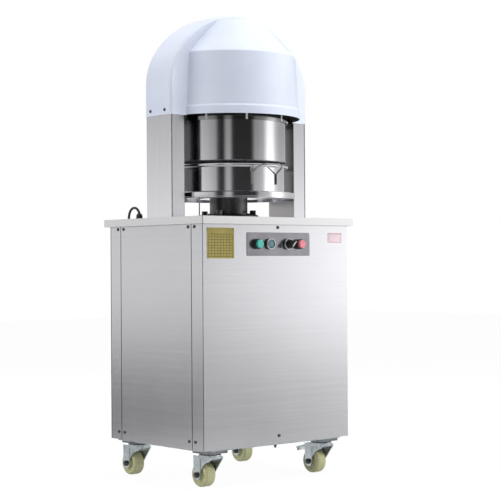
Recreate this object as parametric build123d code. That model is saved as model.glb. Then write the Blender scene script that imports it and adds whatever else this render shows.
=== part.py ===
from build123d import *
from math import cos, pi, radians, sin, sqrt, tan
import os

# A floor-standing dough divider, in millimetres. The floor is z = 0, the machine's front faces -Y,
# and the lifting axis is the Z axis. The pose is the lowered one, with the pan under the sleeve.

# Cabinet
deck_width = 620.0
deck_depth = 505.0
deck_top = 814.0
deck_sheet = 2.0
deck_skirt = 23.0
deck_overhang = 15.5
panel_sheet = 1.5
panel_bottom = 119.0
base_thick = 4.0
base_inset = 4.0
base_chamfer = 28.0
strip_width = 57.0
strip_seam = 3.0
corner_gap = 2.5
rail_leg = 40.0
rail_sheet = 4.0
shelf_top = 388.0
shelf_thick = 12.0
shelf_front = 150.0
shelf_back = 190.0
bearer_plate = 16.0
bearer_margin = 32.0

# Screws that hold the panels and the hood
screw_radius = 5.0
screw_height = 2.6
screw_edge = 31.5
screw_from_seam = 15.0
hood_screw_half_pitch = 36.0
hood_screw_rise = 15.0

# Posts and head
post_set_in = 32.0
post_width = 52.0
post_depth = 124.0
post_sheet = 3.0
post_top = 1161.0
cover_sheet = 1.5
cover_gap = 4.0
cover_play = 0.2
cover_notch = 4.0
neck_width = 20.0
neck_depth = 100.0
beam_bottom = 1258.0
beam_height = 48.0
beam_depth = 90.0
beam_wall = 5.0
head_plate_side = 200.0
head_plate_thick = 12.0

# Hood
hood_bottom = 1130.0
hood_rise = 234.0
hood_wall = 2.5
hood_play = 1.0
hood_spring = 1225.0
hood_shoulder = 180.0
hood_edge = 9.0
bulge_lip_radius = 231.0
bulge_foot_radius = 226.5
bulge_top_radius = 216.5
bulge_top = 1327.0
bulge_bead_height = 26.0
bulge_bead_step = 6.0
bulge_lip_taper = 1.5
bulge_lip_rise = 2.0
bead_rounding = 1.5
cone_top_radius = 110.0
cone_top_drop = 19.0
bulge_rounding = 6.0

# Ram and its guide
ram_radius = 60.5
ram_wall = 12.0
ram_bottom = 556.0
ram_cap = 12.0
guide_flange_radius = 95.5
guide_flange_height = 13.0
guide_flange_chamfer = 3.0
guide_hub_radius = 70.0
guide_hub_height = 18.0
guide_barrel_radius = 78.0
guide_barrel_bottom = 686.0
running_fit = 0.06
open_fit = 0.3
guide_bolt_circle_radius = 82.0
guide_bolt_across = 17.0
guide_bolt_height = 14.0
guide_bolt_turn = 30.0
guide_bolt_count = 4

# Drive
screw_shaft_radius = 20.0
screw_journal_radius = 15.0
screw_top = 846.0
screw_tip_chamfer = 2.0
bearing_radius = 45.0
bearing_height = 40.0
bearing_foot = 60.0
bearing_foot_thick = 12.0
nut_flange_radius = 58.0
nut_flange_thick = 12.0
nut_barrel_radius = 40.0
nut_barrel_length = 50.0
pulley_gap = 8.0
pulley_width = 36.0
screw_pulley_radius = 105.0
motor_pulley_radius = 43.0
groove_depth = 12.0
groove_width = 16.0
belt_clear = 0.5
belt_thick = 9.0
motor_set_in = 124.5
motor_y = 60.0
motor_radius = 72.0
motor_length = 205.0
motor_flange_radius = 80.0
motor_flange_thick = 10.0
motor_shaft_radius = 12.0
motor_shaft_socket = 20.0
shaft_hole = 16.0

# Electrical pieces in the cabinet
box_set_in = 24.5
box_width = 120.0
box_y = (-60.0, 100.0)
box_height = 170.0
box_lid = 3.0
rod_x = -110.0
rod_y = 12.0
rod_radius = 2.0
rod_stop_gap = 1.5
rod_hole = 5.0
rod_bush_radius = 7.0
rod_bush_height = 11.0
collar_radius = 6.0
collar_height = 10.0
switch_width = 20.0
switch_outer = 102.0
switch_height = 36.0
switch_levels = (700.0, 748.0)

# Platform and pan
platform_radius = 213.6
platform_top = 895.0
platform_plate = 4.0
platform_skirt = 19.5
platform_edge = 2.0
platform_wall = 3.0
platform_bead = 1.0
platform_bead_height = 5.0
platform_bead_edge = 1.0
platform_boss_radius = 95.0
platform_boss_thick = 12.0
pan_set_in = 3.8
pan_sheet = 1.5
pan_height = 88.0
pan_corner = 3.0
rim_reach = 11.5
rim_height = 10.5
rim_rounding = 4.8
lip_rounding = 1.0
handle_half_width = 50.0
handle_wire = 5.0
handle_leg = 34.0
handle_leg_top = 58.0
handle_bow_height = 84.0
handle_bow_reach = 26.0
handle_bow_half = 50.0
handle_bend = 26.0
handle_leg_bend = 6.0
handle_play = 0.1

# Pressing sleeve and its guide
sleeve_radius = 183.6
sleeve_wall = 2.0
sleeve_bottom = 993.0
sleeve_bead = 1.2
sleeve_bead_height = 4.0
sleeve_collar_height = 6.0
sleeve_collar_reach = 6.9
guide_ring_bottom = 1117.0
guide_ring_height = 42.0
guide_ring_gap = 3.4
guide_ring_wall = 4.0
guide_bracket_width = 50.0
guide_bracket_height = 28.0
slipper_width = 6.0
slipper_height = 39.0
slipper_proud = 1.0
slipper_fit = 0.1
slipper_azimuths = (-158.0, -120.0, -60.0, -22.0, 22.0, 60.0, 120.0, 158.0)

# Knives and press
portions_inner = 4
portions_outer = 16
knife_edge = 992.0
knife_height = 112.0
knife_thick = 2.0
knife_clear = 1.8
knife_fit = 0.3
knife_carrier_set_in = 2.5
knife_carrier_thick = 10.0
pad_proud = 0.5
pad_thick = 14.0
pad_slot = 4.4
pad_stem_radius = 6.0
pad_stem_inner = 45.0
pad_stem_outer = 132.0
press_set_in = 11.5
press_thick = 8.0
tie_radius = 8.0
tie_half_pitch = 71.0
spring_radius = 13.0
spring_wire = 4.0
spring_turns = 9
top_clear = 0.5

# Control plate on the front panel
plate_x = 2.5
plate_z = 731.0
plate_width = 257.0
plate_height = 72.0
plate_sheet = 1.5
plate_corner = 5.0
device_z = 731.5
start_x = -88.0
lamp_x = -37.0
selector_x = 37.5
stop_x = 84.0
bezel_radius = 15.5
bezel_chamfer = 1.0
bezel_floor = 3.0
barrel_radius = 11.0
barrel_fit = 0.2
lock_nut_radius = 15.0
lock_nut_height = 6.0
contact_side = 28.0
contact_height = 40.0
contact_depth = 38.0
contact_stand_off = 20.0
button_bezel_height = 13.0
button_reach = 21.0
button_radius = 12.7
button_back = 8.0
button_rounding = 1.5
lamp_bezel_height = 11.0
lens_radius = 12.4
lens_crown = 1.0
selector_bezel_height = 10.0
selector_neck_rise = 2.0
selector_neck_radius = 11.0
selector_reach = 34.0
lever_width = 9.0
lever_length = 27.0
lever_turn = 45.0

# Casters
caster_x = 228.0
caster_y = 181.0
caster_trail = 31.0
caster_plate_side = 80.0
caster_plate_thick = 10.0
caster_race_radius = 30.0
caster_race_height = 3.0
caster_gap = 0.2
kingpin_radius = 8.0
kingpin_head_radius = 12.0
kingpin_head_height = 4.0
crown_radius = 34.0
crown_height = 13.0
wheel_radius = 37.5
wheel_width = 40.0
wheel_rounding = 9.0
wheel_dish = 4.0
wheel_rim = 11.0
hub_radius = 15.0
hub_half_length = 22.2
leg_inner = 22.5
leg_sheet = 3.0
leg_boss = 16.0
leg_rib = 1.6
leg_scoop_radius = 57.5
leg_scoop_front = 36.0
leg_scoop_height = 24.5
leg_front = 31.0
leg_rear = 50.0
bridge_rear = 32.0
axle_radius = 5.0
axle_head_radius = 8.5
axle_head_height = 6.0
pedal_pivot_y = 42.0
pedal_pivot_rise = 1.0
pedal_pin_radius = 3.0
pedal_boss = 6.0
pedal_arm_half = 21.0
pedal_arm_length = 14.0
pedal_tread_half = 24.0
pedal_length = 54.0
pedal_thick = 4.0
pedal_lip = 11.0
pedal_slope = 14.0

# Mains cord, its gland, coil and plug
cord_diameter = 8.0
gland_from_side = 90.5
gland_from_back = 33.0
gland_across = 21.0
gland_nut_height = 7.0
gland_height = 22.0
gland_shoulder = 10.2
gland_mouth = 5.2
gland_stem_radius = 7.0
coil_from_gland = 29.0
coil_drop = 338.0
coil_radius = 56.0
coil_gap = 0.6
coil_stand_off = 1.2
coil_half_turns_in = 5
coil_half_turns_out = 3
coil_tail_radius = 78.0
plug_width = 28.0
plug_thick = 20.0
plug_length = 42.0
plug_pin_radius = 2.4
plug_pin_length = 19.0
plug_pin_half_pitch = 9.5
# Bends of the cord, from the gland's middle in X, the rear panel in Y and the deck's top in Z
cord_bends = [
    (0.7, -19.0, 44.0),
    (1.7, 3.0, 44.0),
    (2.6, 22.0, 27.0),
    (3.0, 29.0, -6.0),
    (2.8, 30.5, -53.0),
    (1.5, 26.5, -106.0),
    (-3.0, 18.0, -163.0),
    (-11.0, 10.0, -214.0),
    (-21.5, 6.2, -260.0),
]
cord_first_run = 12.0
cord_last_run = 30.0

# Sizes that follow from the ones above
half_width = deck_width / 2 - deck_overhang
half_depth = deck_depth / 2 - deck_overhang
post_outer = deck_width / 2 - post_set_in
post_inner = post_outer - post_width
motor_x = motor_set_in - half_width
box_x = (half_width - box_set_in - box_width, half_width - box_set_in)
deck_under = deck_top - deck_sheet
frame_x = half_width - panel_sheet
frame_y = half_depth - panel_sheet
base_bottom = panel_bottom - base_thick
seam_y = half_depth - strip_width
plate_front = -half_depth - plate_sheet
shelf_under = shelf_top - shelf_thick
bearing_top = shelf_top + bearing_height
pulley_bottom = bearing_top + pulley_gap
pulley_top = pulley_bottom + pulley_width
platform_under = platform_top - platform_plate
ram_top = platform_under - platform_boss_thick
pan_radius = sleeve_radius - pan_set_in
pan_floor = platform_top + pan_sheet
pan_rim = platform_top + pan_height
carrier_bottom = knife_edge + knife_height
carrier_top = carrier_bottom + knife_carrier_thick
press_top = carrier_top + press_thick
pad_bottom = knife_edge - pad_proud
ring_inner = sleeve_radius + guide_ring_gap
ring_outer = ring_inner + guide_ring_wall
ring_top = guide_ring_bottom + guide_ring_height
sleeve_top = ring_top + sleeve_collar_height
lift_travel = pad_bottom - top_clear - pan_floor
rod_bottom = deck_under - bearer_plate - rod_stop_gap - lift_travel - collar_height
knife_reach = pan_radius - pan_sheet - knife_clear
knife_carrier_radius = knife_reach - knife_carrier_set_in
press_radius = knife_reach - press_set_in
knife_ring_radius = knife_reach * sqrt(portions_inner / (portions_inner + portions_outer))
neck_top = beam_bottom + beam_height
hood_top = hood_spring + hood_rise
hood_half_width = post_outer + hood_play + hood_wall
hood_half_depth = post_depth / 2 + hood_play + hood_wall
crown_top = base_bottom - caster_plate_thick - caster_race_height - caster_gap
crown_bottom = crown_top - crown_height
bridge_z = (crown_bottom, crown_bottom + crown_height / 2)
kingpin_bottom = crown_bottom - caster_gap - kingpin_head_height
coil_pitch = cord_diameter + coil_gap
coil_y = half_depth + coil_stand_off + cord_diameter / 2
gland_x = gland_from_side - half_width
gland_y = half_depth - gland_from_back
coil_x = gland_x + coil_from_gland
coil_z = deck_top - coil_drop


def middle(span):
    return (span[0] + span[1]) / 2


def block(x, y, z):
    size = Box(x[1] - x[0], y[1] - y[0], z[1] - z[0])
    return Pos(middle(x), middle(y), middle(z)) * size


def both(half):
    return (-half, half)


def upright(radius, z, at=(0.0, 0.0)):
    return Pos(at[0], at[1], middle(z)) * Cylinder(radius, z[1] - z[0])


def tube(outer, inner, z, at=(0.0, 0.0)):
    return upright(outer, z, at) - upright(inner, z, at)


def cross_bar(radius, x, y, z):
    return Pos(middle(x), y, z) * Rot(0, 90, 0) * Cylinder(radius, x[1] - x[0])


def frame_ring(z, wall):
    outer = block(both(frame_x), both(frame_y), z)
    return outer - block(both(frame_x - wall), both(frame_y - wall), z)


def hexagon(across, z, at=(0.0, 0.0), turn=0.0):
    flat = Rot(0, 0, turn) * RegularPolygon(across / 2, 6, major_radius=False)
    return Pos(at[0], at[1], z[0]) * extrude(flat, z[1] - z[0])


def turned(points):
    """A solid of revolution about Z from (radius, height) points."""
    profile = make_face(Polyline(*points, close=True))
    return revolve(Plane.XZ * profile, Axis.Z)


def turned_forward(points, x):
    """A solid of revolution about a front device's axis, from (reach from the plate, radius) points."""
    profile = make_face(Polyline(*[(radius, -reach) for reach, radius in points], close=True))
    return Pos(x, plate_front, device_z) * revolve(profile, Axis.Y)


def polar(radius, azimuth):
    """A place at an azimuth in degrees, counted from the front towards the right."""
    return (radius * sin(radians(azimuth)), -radius * cos(radians(azimuth)))


def save(name, *shapes):
    whole = shapes[0] if len(shapes) == 1 else Compound(children=list(shapes))
    export_step(whole, f"parts/{name}.step")


# Cabinet


def chassis_frame():
    frame = frame_ring((panel_bottom, panel_bottom + rail_leg), rail_sheet)
    frame += frame_ring((panel_bottom, panel_bottom + rail_sheet), rail_leg)
    frame += frame_ring((deck_under - rail_leg, deck_under), rail_sheet)
    frame += frame_ring((deck_under - rail_sheet, deck_under), rail_leg)
    frame += frame_ring((shelf_under - rail_leg, shelf_under), rail_sheet)
    frame += frame_ring((shelf_under - rail_sheet, shelf_under), rail_leg)
    frame += block(both(frame_x - rail_sheet), (-shelf_front, shelf_back), (shelf_under, shelf_top))
    height = (panel_bottom, deck_under)
    for side in (-1, 1):
        for end in (-1, 1):
            wide = sorted((side * frame_x, side * (frame_x - rail_leg)))
            thin = sorted((side * frame_x, side * (frame_x - rail_sheet)))
            deep = sorted((end * frame_y, end * (frame_y - rail_leg)))
            flat = sorted((end * frame_y, end * (frame_y - rail_sheet)))
            frame += block(wide, flat, height) + block(thin, deep, height)
        across = sorted((side * post_inner, side * post_outer))
        frame += block(across, both(frame_y), (deck_under - rail_leg, deck_under))
    bearer_half = guide_barrel_radius + bearer_margin
    frame += block(both(post_inner), both(bearer_half), (deck_under - bearer_plate, deck_under))
    frame -= upright(guide_barrel_radius + open_fit, (deck_under - rail_leg, deck_under))
    frame -= upright(rod_hole, (deck_under - rail_leg, deck_under), (rod_x, rod_y))
    frame -= upright(shaft_hole, (shelf_under, shelf_top), (motor_x, motor_y))
    frame -= upright(gland_stem_radius + open_fit, (deck_under - rail_leg, deck_under), (gland_x, gland_y))
    return frame


def base_plate():
    plate = block(both(half_width - base_inset), both(half_depth - base_inset), (base_bottom, panel_bottom))
    return chamfer(plate.edges().filter_by(Axis.Z), base_chamfer)


def corner_strips():
    strips = []
    for side in (-1, 1):
        for end in (-1, 1):
            x = sorted((side * half_width, side * frame_x))
            y = sorted((end * (seam_y + strip_seam / 2), end * (frame_y - corner_gap)))
            strips.append(block(x, y, (panel_bottom, deck_under)))
    return strips


def side_panel(side):
    x = sorted((side * half_width, side * frame_x))
    return block(x, both(seam_y - strip_seam / 2), (panel_bottom, deck_under))


def front_panel():
    panel = block(both(half_width), (-half_depth, -frame_y), (panel_bottom, deck_under))
    for x in (start_x, lamp_x, selector_x, stop_x):
        hole = Rot(90, 0, 0) * Cylinder(barrel_radius + barrel_fit, 4 * panel_sheet)
        panel -= Pos(x, -half_depth, device_z) * hole
    return panel


def rear_panel():
    return block(both(half_width), (frame_y, half_depth), (panel_bottom, deck_under))


def deck():
    x, y = deck_width / 2, deck_depth / 2
    tray = block(both(x), both(y), (deck_top - deck_skirt, deck_top))
    tray = fillet(tray.edges().filter_by(Axis.Z), deck_sheet * 2)
    tray -= block(both(x - deck_sheet), both(y - deck_sheet), (deck_top - deck_skirt, deck_under))
    tray -= upright(guide_barrel_radius + open_fit, (deck_under, deck_top))
    tray -= upright(rod_hole, (deck_under, deck_top), (rod_x, rod_y))
    tray -= upright(gland_stem_radius + open_fit, (deck_under, deck_top), (gland_x, gland_y))
    return tray


def screw_head(place, outward):
    head = Plane(origin=place, z_dir=outward) * Cylinder(
        screw_radius, screw_height, align=(Align.CENTER, Align.CENTER, Align.MIN)
    )
    crown = head.faces().sort_by(Axis(place, outward))[-1].edges()
    return fillet(crown, screw_height * 0.6)


def cover_screws():
    low = panel_bottom + screw_edge * 0.75
    high = deck_top - screw_edge
    screws = []
    for side in (-1, 1):
        for z in (low, high):
            for end in (-1, 1):
                for step in (-1, 1):
                    y = end * (seam_y + step * screw_from_seam)
                    screws.append(screw_head((side * half_width, y, z), (side, 0, 0)))
            screws.append(screw_head((0, side * half_depth, z), (0, side, 0)))
        for step in (-1, 1):
            place = (side * hood_half_width, step * hood_screw_half_pitch, hood_bottom + hood_screw_rise)
            screws.append(screw_head(place, (side, 0, 0)))
    return screws


# Posts, beam and hood


def post(side):
    channel_edge = post_outer - cover_sheet - cover_gap
    y = post_depth / 2
    x = sorted((side * post_inner, side * channel_edge))
    hollow = sorted((side * (post_inner + post_sheet), side * channel_edge))
    channel = block(x, both(y), (deck_top, post_top))
    channel -= block(hollow, both(y - post_sheet), (deck_top, post_top - post_sheet))
    neck = sorted((side * post_inner, side * (post_inner + neck_width)))
    return channel + block(neck, both(neck_depth / 2), (post_top, neck_top))


def post_cover(side):
    inner = post_outer - cover_sheet
    lip = inner - cover_gap - neck_width
    y = post_depth / 2 - post_sheet - cover_play
    z = (deck_top, post_top - post_sheet - cover_play)
    x = sorted((side * inner, side * post_outer))
    under_hood = hood_bottom - cover_play
    face = block(x, both(post_depth / 2), (deck_top, under_hood))
    face += block(x, both(post_depth / 2 - cover_notch), (under_hood, post_top))
    for end in (-1, 1):
        flat = sorted((end * y, end * (y - cover_sheet)))
        face += block(sorted((side * lip, side * inner)), flat, z)
    return face


def crossbeam():
    plate_top = beam_bottom + head_plate_thick
    plate = block(both(head_plate_side / 2), both(head_plate_side / 2), (beam_bottom, plate_top))
    beam = block(both(post_inner), both(beam_depth / 2), (plate_top, neck_top))
    hollow = (plate_top + beam_wall, neck_top - beam_wall)
    return plate + beam - block(both(post_inner), both(beam_depth / 2 - beam_wall), hollow)


def arch(inset, bottom):
    """The hood's three-centred arch outline, drawn in by a wall and carried down to a given height."""
    reach = hood_half_width - inset
    rise = hood_top - inset - hood_spring
    shoulder = hood_shoulder - inset
    crown = (reach**2 + rise**2 - 2 * reach * shoulder) / (2 * (rise - shoulder))
    centre_x = reach - shoulder
    centre_z = hood_spring + rise - crown
    share = crown / (crown - shoulder)
    joint = (centre_x * share, centre_z + (hood_spring - centre_z) * share)
    outline = Polyline((-reach, hood_spring), (-reach, bottom), (reach, bottom), (reach, hood_spring))
    outline += TangentArc((reach, hood_spring), joint, tangent=(0, 1))
    outline += ThreePointArc(joint, (0, hood_top - inset), (-joint[0], joint[1]))
    outline += TangentArc((-reach, hood_spring), (-joint[0], joint[1]), tangent=(0, 1))
    depth = hood_half_depth - inset
    body = extrude(Plane.XZ * make_face(outline), depth, both=True)
    rims = [edge for face in body.faces().filter_by(Axis.Y) for edge in face.edges()]
    curves = [edge for edge in rims if edge.center().Z > bottom + 1]
    return fillet(curves, hood_edge - inset)


def bulge(inset, bottom):
    """The hood's round front and back, without the middle that the arch fills."""
    bead = hood_bottom + bulge_bead_height
    cone_top = hood_top - cone_top_drop - inset
    wall = FilletPolyline(
        (bulge_lip_radius - inset, bottom),
        (bulge_lip_radius - inset - bulge_lip_taper, bead),
        (bulge_foot_radius - inset, bead + bulge_bead_step),
        (bulge_top_radius - inset, bulge_top - inset / 2),
        (cone_top_radius - inset / 2, cone_top),
        (0, cone_top),
        radius=[bead_rounding, bead_rounding, bulge_rounding, bulge_rounding],
    )
    outline = wall + Polyline((0, cone_top), (0, bottom), (bulge_lip_radius - inset, bottom))
    body = revolve(Plane.XZ * make_face(outline), Axis.Z)
    middle_half = hood_half_depth - hood_wall
    reach = 2 * bulge_lip_radius
    return body - block(both(reach), both(middle_half), (bottom - reach, hood_top + reach))


def hood():
    below = hood_bottom - 4 * hood_edge
    outer = arch(0, below) + bulge(0, hood_bottom + bulge_lip_rise)
    shell = outer - arch(hood_wall, below) - bulge(hood_wall, hood_bottom - hood_edge)
    reach = 2 * bulge_lip_radius
    return shell - block(both(reach), both(reach), (below - hood_edge, hood_bottom))


# Ram, platform and drive


def ram_guide():
    height = deck_top + guide_flange_height
    guide = upright(guide_flange_radius, (deck_top, height))
    guide = chamfer(guide.faces().sort_by(Axis.Z)[-1].edges(), guide_flange_chamfer)
    guide += upright(guide_hub_radius, (deck_top, deck_top + guide_hub_height))
    guide += upright(guide_barrel_radius, (guide_barrel_bottom, deck_top))
    guide -= upright(ram_radius + running_fit, (guide_barrel_bottom, deck_top + guide_hub_height))
    bush_z = (deck_top, deck_top + rod_bush_height)
    bush = tube(rod_bush_radius, rod_radius + open_fit, bush_z, (rod_x, rod_y))
    return guide, bush


def guide_bolts():
    top = deck_top + guide_flange_height
    bolts = []
    for number in range(guide_bolt_count):
        azimuth = guide_bolt_turn + number * 360 / guide_bolt_count
        place = polar(guide_bolt_circle_radius, azimuth)
        bolts.append(hexagon(guide_bolt_across, (top, top + guide_bolt_height), place, azimuth))
    return bolts


def ram():
    body = upright(ram_radius, (ram_bottom, ram_top))
    return body - upright(ram_radius - ram_wall, (ram_bottom, ram_top - ram_cap))


def lift_nut():
    flange = upright(nut_flange_radius, (ram_bottom - nut_flange_thick, ram_bottom))
    body = flange + upright(nut_barrel_radius, (ram_bottom, ram_bottom + nut_barrel_length))
    bore = (ram_bottom - nut_flange_thick, ram_bottom + nut_barrel_length)
    return body - upright(screw_shaft_radius + running_fit, bore)


def lift_screw():
    shaft = upright(screw_shaft_radius, (bearing_top, screw_top))
    shaft = chamfer(shaft.faces().sort_by(Axis.Z)[-1].edges(), screw_tip_chamfer)
    return shaft + upright(screw_journal_radius, (shelf_top, bearing_top))


def screw_bearing():
    foot = block(both(bearing_foot), both(bearing_foot), (shelf_top, shelf_top + bearing_foot_thick))
    housing = foot + upright(bearing_radius, (shelf_top, bearing_top))
    return housing - upright(screw_journal_radius + running_fit, (shelf_top, bearing_top))


def grooved_wheel(radius):
    middle_z = (pulley_bottom + pulley_top) / 2
    groove = (middle_z - groove_width / 2, middle_z + groove_width / 2)
    wheel = upright(radius, (pulley_bottom, pulley_top))
    return wheel - tube(radius, radius - groove_depth, groove)


def screw_pulley():
    bore = screw_shaft_radius + running_fit
    return grooved_wheel(screw_pulley_radius) - upright(bore, (pulley_bottom, pulley_top))


def motor_pulley():
    shaft = upright(motor_shaft_radius, (shelf_under - motor_shaft_socket + 1, pulley_top))
    return Pos(motor_x, motor_y, 0) * (grooved_wheel(motor_pulley_radius) + shaft)


def belt_loop(inset):
    rounds = []
    for radius, x, y in ((screw_pulley_radius, 0, 0), (motor_pulley_radius, motor_x, motor_y)):
        seat = radius - groove_depth + belt_clear
        rounds += (Pos(x, y) * Circle(seat + inset)).edges()
    return make_hull(rounds)


def drive_belt():
    width = groove_width - 2 * belt_clear
    loop = belt_loop(belt_thick) - belt_loop(0)
    return Pos(0, 0, (pulley_bottom + pulley_top - width) / 2) * extrude(loop, width)


def motor():
    place = (motor_x, motor_y)
    body = upright(motor_radius, (shelf_under - motor_length, shelf_under), place)
    body += upright(motor_flange_radius, (shelf_under - motor_flange_thick, shelf_under), place)
    socket = (shelf_under - motor_shaft_socket, shelf_under)
    return body - upright(motor_shaft_radius + running_fit, socket, place)


def control_box():
    top = shelf_top + box_height
    case = block(box_x, box_y, (shelf_top, top))
    lid_x = (box_x[0] - box_lid, box_x[1] + box_lid)
    lid_y = (box_y[0] - box_lid, box_y[1] + box_lid)
    return case + block(lid_x, lid_y, (top - 2 * box_lid, top + box_lid))


def limit_rod():
    rod = upright(rod_radius, (rod_bottom, platform_under), (rod_x, rod_y))
    return rod + upright(collar_radius, (rod_bottom, rod_bottom + collar_height), (rod_x, rod_y))


def limit_switches():
    y = (rod_y - switch_width / 2, rod_y + switch_width / 2)
    x = (-switch_outer, -guide_barrel_radius - open_fit)
    return [block(x, y, (z, z + switch_height)) for z in switch_levels]


def platform():
    low = platform_top - platform_skirt
    dish = turned(
        [
            (0, platform_top),
            (platform_radius - platform_edge, platform_top),
            (platform_radius, platform_top - platform_edge),
            (platform_radius, low + platform_bead_height),
            (platform_radius + platform_bead, low + platform_bead_height - platform_bead_edge),
            (platform_radius + platform_bead, low + platform_bead_edge),
            (platform_radius, low),
            (platform_radius - platform_wall, low),
            (platform_radius - platform_wall, platform_under),
            (platform_boss_radius, platform_under),
            (platform_boss_radius, ram_top),
            (0, ram_top),
        ]
    )
    return dish


def dough_pan():
    inner = pan_radius - pan_sheet
    rim = pan_radius + rim_reach
    lip = pan_rim - rim_height
    outside = FilletPolyline(
        (0, platform_top),
        (pan_radius, platform_top),
        (pan_radius, lip),
        (rim, lip),
        (rim, pan_rim),
        (inner, pan_rim),
        radius=[pan_corner, lip_rounding, rim_rounding, rim_rounding],
    )
    inside = FilletPolyline(
        (inner, pan_rim), (inner, pan_floor), (0, pan_floor), radius=[pan_corner - pan_sheet]
    )
    profile = make_face(outside + inside + Line((0, pan_floor), (0, platform_top)))
    return revolve(Plane.XZ * profile, Axis.Z)


def pan_handle():
    wire = handle_wire / 2
    leg_y = -sqrt((pan_radius + wire + handle_play) ** 2 - handle_half_width**2)
    leg_low = platform_top + handle_leg_top - handle_leg
    leg_high = platform_top + handle_leg_top
    bow_y = -pan_radius - rim_reach - handle_bow_reach + wire
    bow_z = platform_top + handle_bow_height
    points = [
        (-handle_half_width, leg_y, leg_low),
        (-handle_half_width, leg_y, leg_high),
        (-handle_bow_half, bow_y, bow_z),
        (handle_bow_half, bow_y, bow_z),
        (handle_half_width, leg_y, leg_high),
        (handle_half_width, leg_y, leg_low),
    ]
    bends = [handle_leg_bend, handle_bend, handle_bend, handle_leg_bend]
    path = FilletPolyline(*points, radius=bends)
    return sweep(Plane(origin=points[0], z_dir=(0, 0, 1)) * Circle(wire), path=path)


# Sleeve, knives and press


def pressing_sleeve():
    wall = sleeve_radius - sleeve_wall
    return turned(
        [
            (wall, sleeve_bottom),
            (sleeve_radius + sleeve_bead, sleeve_bottom),
            (sleeve_radius + sleeve_bead, sleeve_bottom + sleeve_bead_height),
            (sleeve_radius, sleeve_bottom + sleeve_bead_height),
            (sleeve_radius, ring_top),
            (sleeve_radius + sleeve_collar_reach, ring_top),
            (sleeve_radius + sleeve_collar_reach, sleeve_top),
            (wall, sleeve_top),
        ]
    )


def slipper(azimuth, play):
    deep = (sleeve_radius + open_fit, ring_outer + slipper_proud)
    low = guide_ring_bottom + slipper_proud
    half = slipper_width / 2 + play
    pad = block(both(half), (-deep[1], -deep[0]), (low - play, low + slipper_height + play))
    return Rot(0, 0, azimuth) * pad


def guide_ring():
    ring = tube(ring_outer, ring_inner, (guide_ring_bottom, ring_top))
    reach = (ring_inner + guide_ring_wall / 2, post_inner)
    for side in (-1, 1):
        x = sorted((side * reach[0], side * reach[1]))
        ring += block(x, both(guide_bracket_width / 2), (ring_top - guide_bracket_height, ring_top))
    ring -= upright(ring_inner, (guide_ring_bottom, ring_top))
    for azimuth in slipper_azimuths:
        ring -= slipper(azimuth, slipper_fit)
    return ring


def guide_slippers():
    return [slipper(azimuth, 0.0) for azimuth in slipper_azimuths]


def knives():
    z = (knife_edge, carrier_bottom)
    ring = tube(knife_ring_radius + knife_thick / 2, knife_ring_radius - knife_thick / 2, z)
    blades = [ring]
    start = knife_ring_radius + knife_thick / 2 + knife_fit
    for number in range(portions_outer):
        blade = block((start, knife_reach), both(knife_thick / 2), z)
        blades.append(Rot(0, 0, number * 360 / portions_outer) * blade)
    inner = knife_ring_radius - knife_thick / 2 - knife_fit
    cross = block(both(inner), both(knife_thick / 2), z)
    for number in range(1, portions_inner // 2):
        cross += Rot(0, 0, number * 360 / portions_inner) * block(both(inner), both(knife_thick / 2), z)
    blades.append(cross)
    return blades


def stem_places():
    places = []
    for count, radius in ((portions_inner, pad_stem_inner), (portions_outer, pad_stem_outer)):
        places += [polar(radius, (number + 0.5) * 360 / count) for number in range(count)]
    return places


def tie_places():
    return [(x * tie_half_pitch, y * tie_half_pitch) for x in (-1, 1) for y in (-1, 1)]


def knife_carrier():
    z = (carrier_bottom, carrier_top)
    plate = upright(knife_carrier_radius, z)
    for place in stem_places():
        plate -= upright(pad_stem_radius + open_fit, z, place)
    return plate


def press_pads():
    z = (pad_bottom, pad_bottom + pad_thick)
    ring_gap = pad_slot / 2
    outer = tube(knife_reach, knife_ring_radius + ring_gap, z)
    for number in range(portions_outer // 2):
        slot = block(both(2 * knife_reach), both(pad_slot / 2), z)
        outer -= Rot(0, 0, number * 360 / portions_outer) * slot
    inner = upright(knife_ring_radius - ring_gap, z)
    for number in range(portions_inner // 2):
        slot = block(both(knife_reach), both(pad_slot / 2), z)
        inner -= Rot(0, 0, number * 360 / portions_inner) * slot
    pads = []
    for pad in [*outer.solids(), *inner.solids()]:
        middle_of = pad.center()
        place = min(stem_places(), key=lambda p: (p[0] - middle_of.X) ** 2 + (p[1] - middle_of.Y) ** 2)
        pads.append(pad + upright(pad_stem_radius, (z[1], carrier_top), place))
    return pads


def press_carrier():
    z = (carrier_top, press_top)
    plate = upright(press_radius, z)
    for place in tie_places():
        plate -= upright(tie_radius + running_fit, z, place)
    return plate


def tie_rods():
    return [upright(tie_radius, (carrier_top, beam_bottom), place) for place in tie_places()]


def biarc(start, leave, end, arrive):
    """Two arcs, one running smoothly into the other, between two places with given headings."""
    chord = end - start
    both_ways = chord.dot(leave + arrive)
    spread = 1 - leave.dot(arrive)
    arm = (-both_ways + sqrt(both_ways**2 + 2 * spread * chord.dot(chord))) / (2 * spread)
    joint = (start + end + (leave - arrive) * arm) / 2
    first = TangentArc(start, joint, tangent=leave)
    return [first, TangentArc(joint, end, tangent=first % 1)]


def press_springs():
    low = press_top + spring_wire / 2 + open_fit
    high = beam_bottom - spring_wire / 2 - open_fit
    rise = (high - low) / (2 * spring_turns)
    edges = []
    for number in range(2 * spring_turns):
        way = 1 if number % 2 == 0 else -1
        start = Vector(way * spring_radius, 0, low + number * rise)
        end = Vector(-way * spring_radius, 0, low + (number + 1) * rise)
        climb = rise / (pi * spring_radius)
        leave = Vector(0, way, climb).normalized()
        arrive = Vector(0, -way, climb).normalized()
        edges += biarc(start, leave, end, arrive)
    heading = edges[0] % 0
    section = Plane(origin=edges[0] @ 0, z_dir=heading) * Circle(spring_wire / 2)
    spring = sweep(section, path=Wire(edges))
    return [Pos(x, y, 0) * spring for x, y in tie_places()]


# Control plate and its devices


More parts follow.
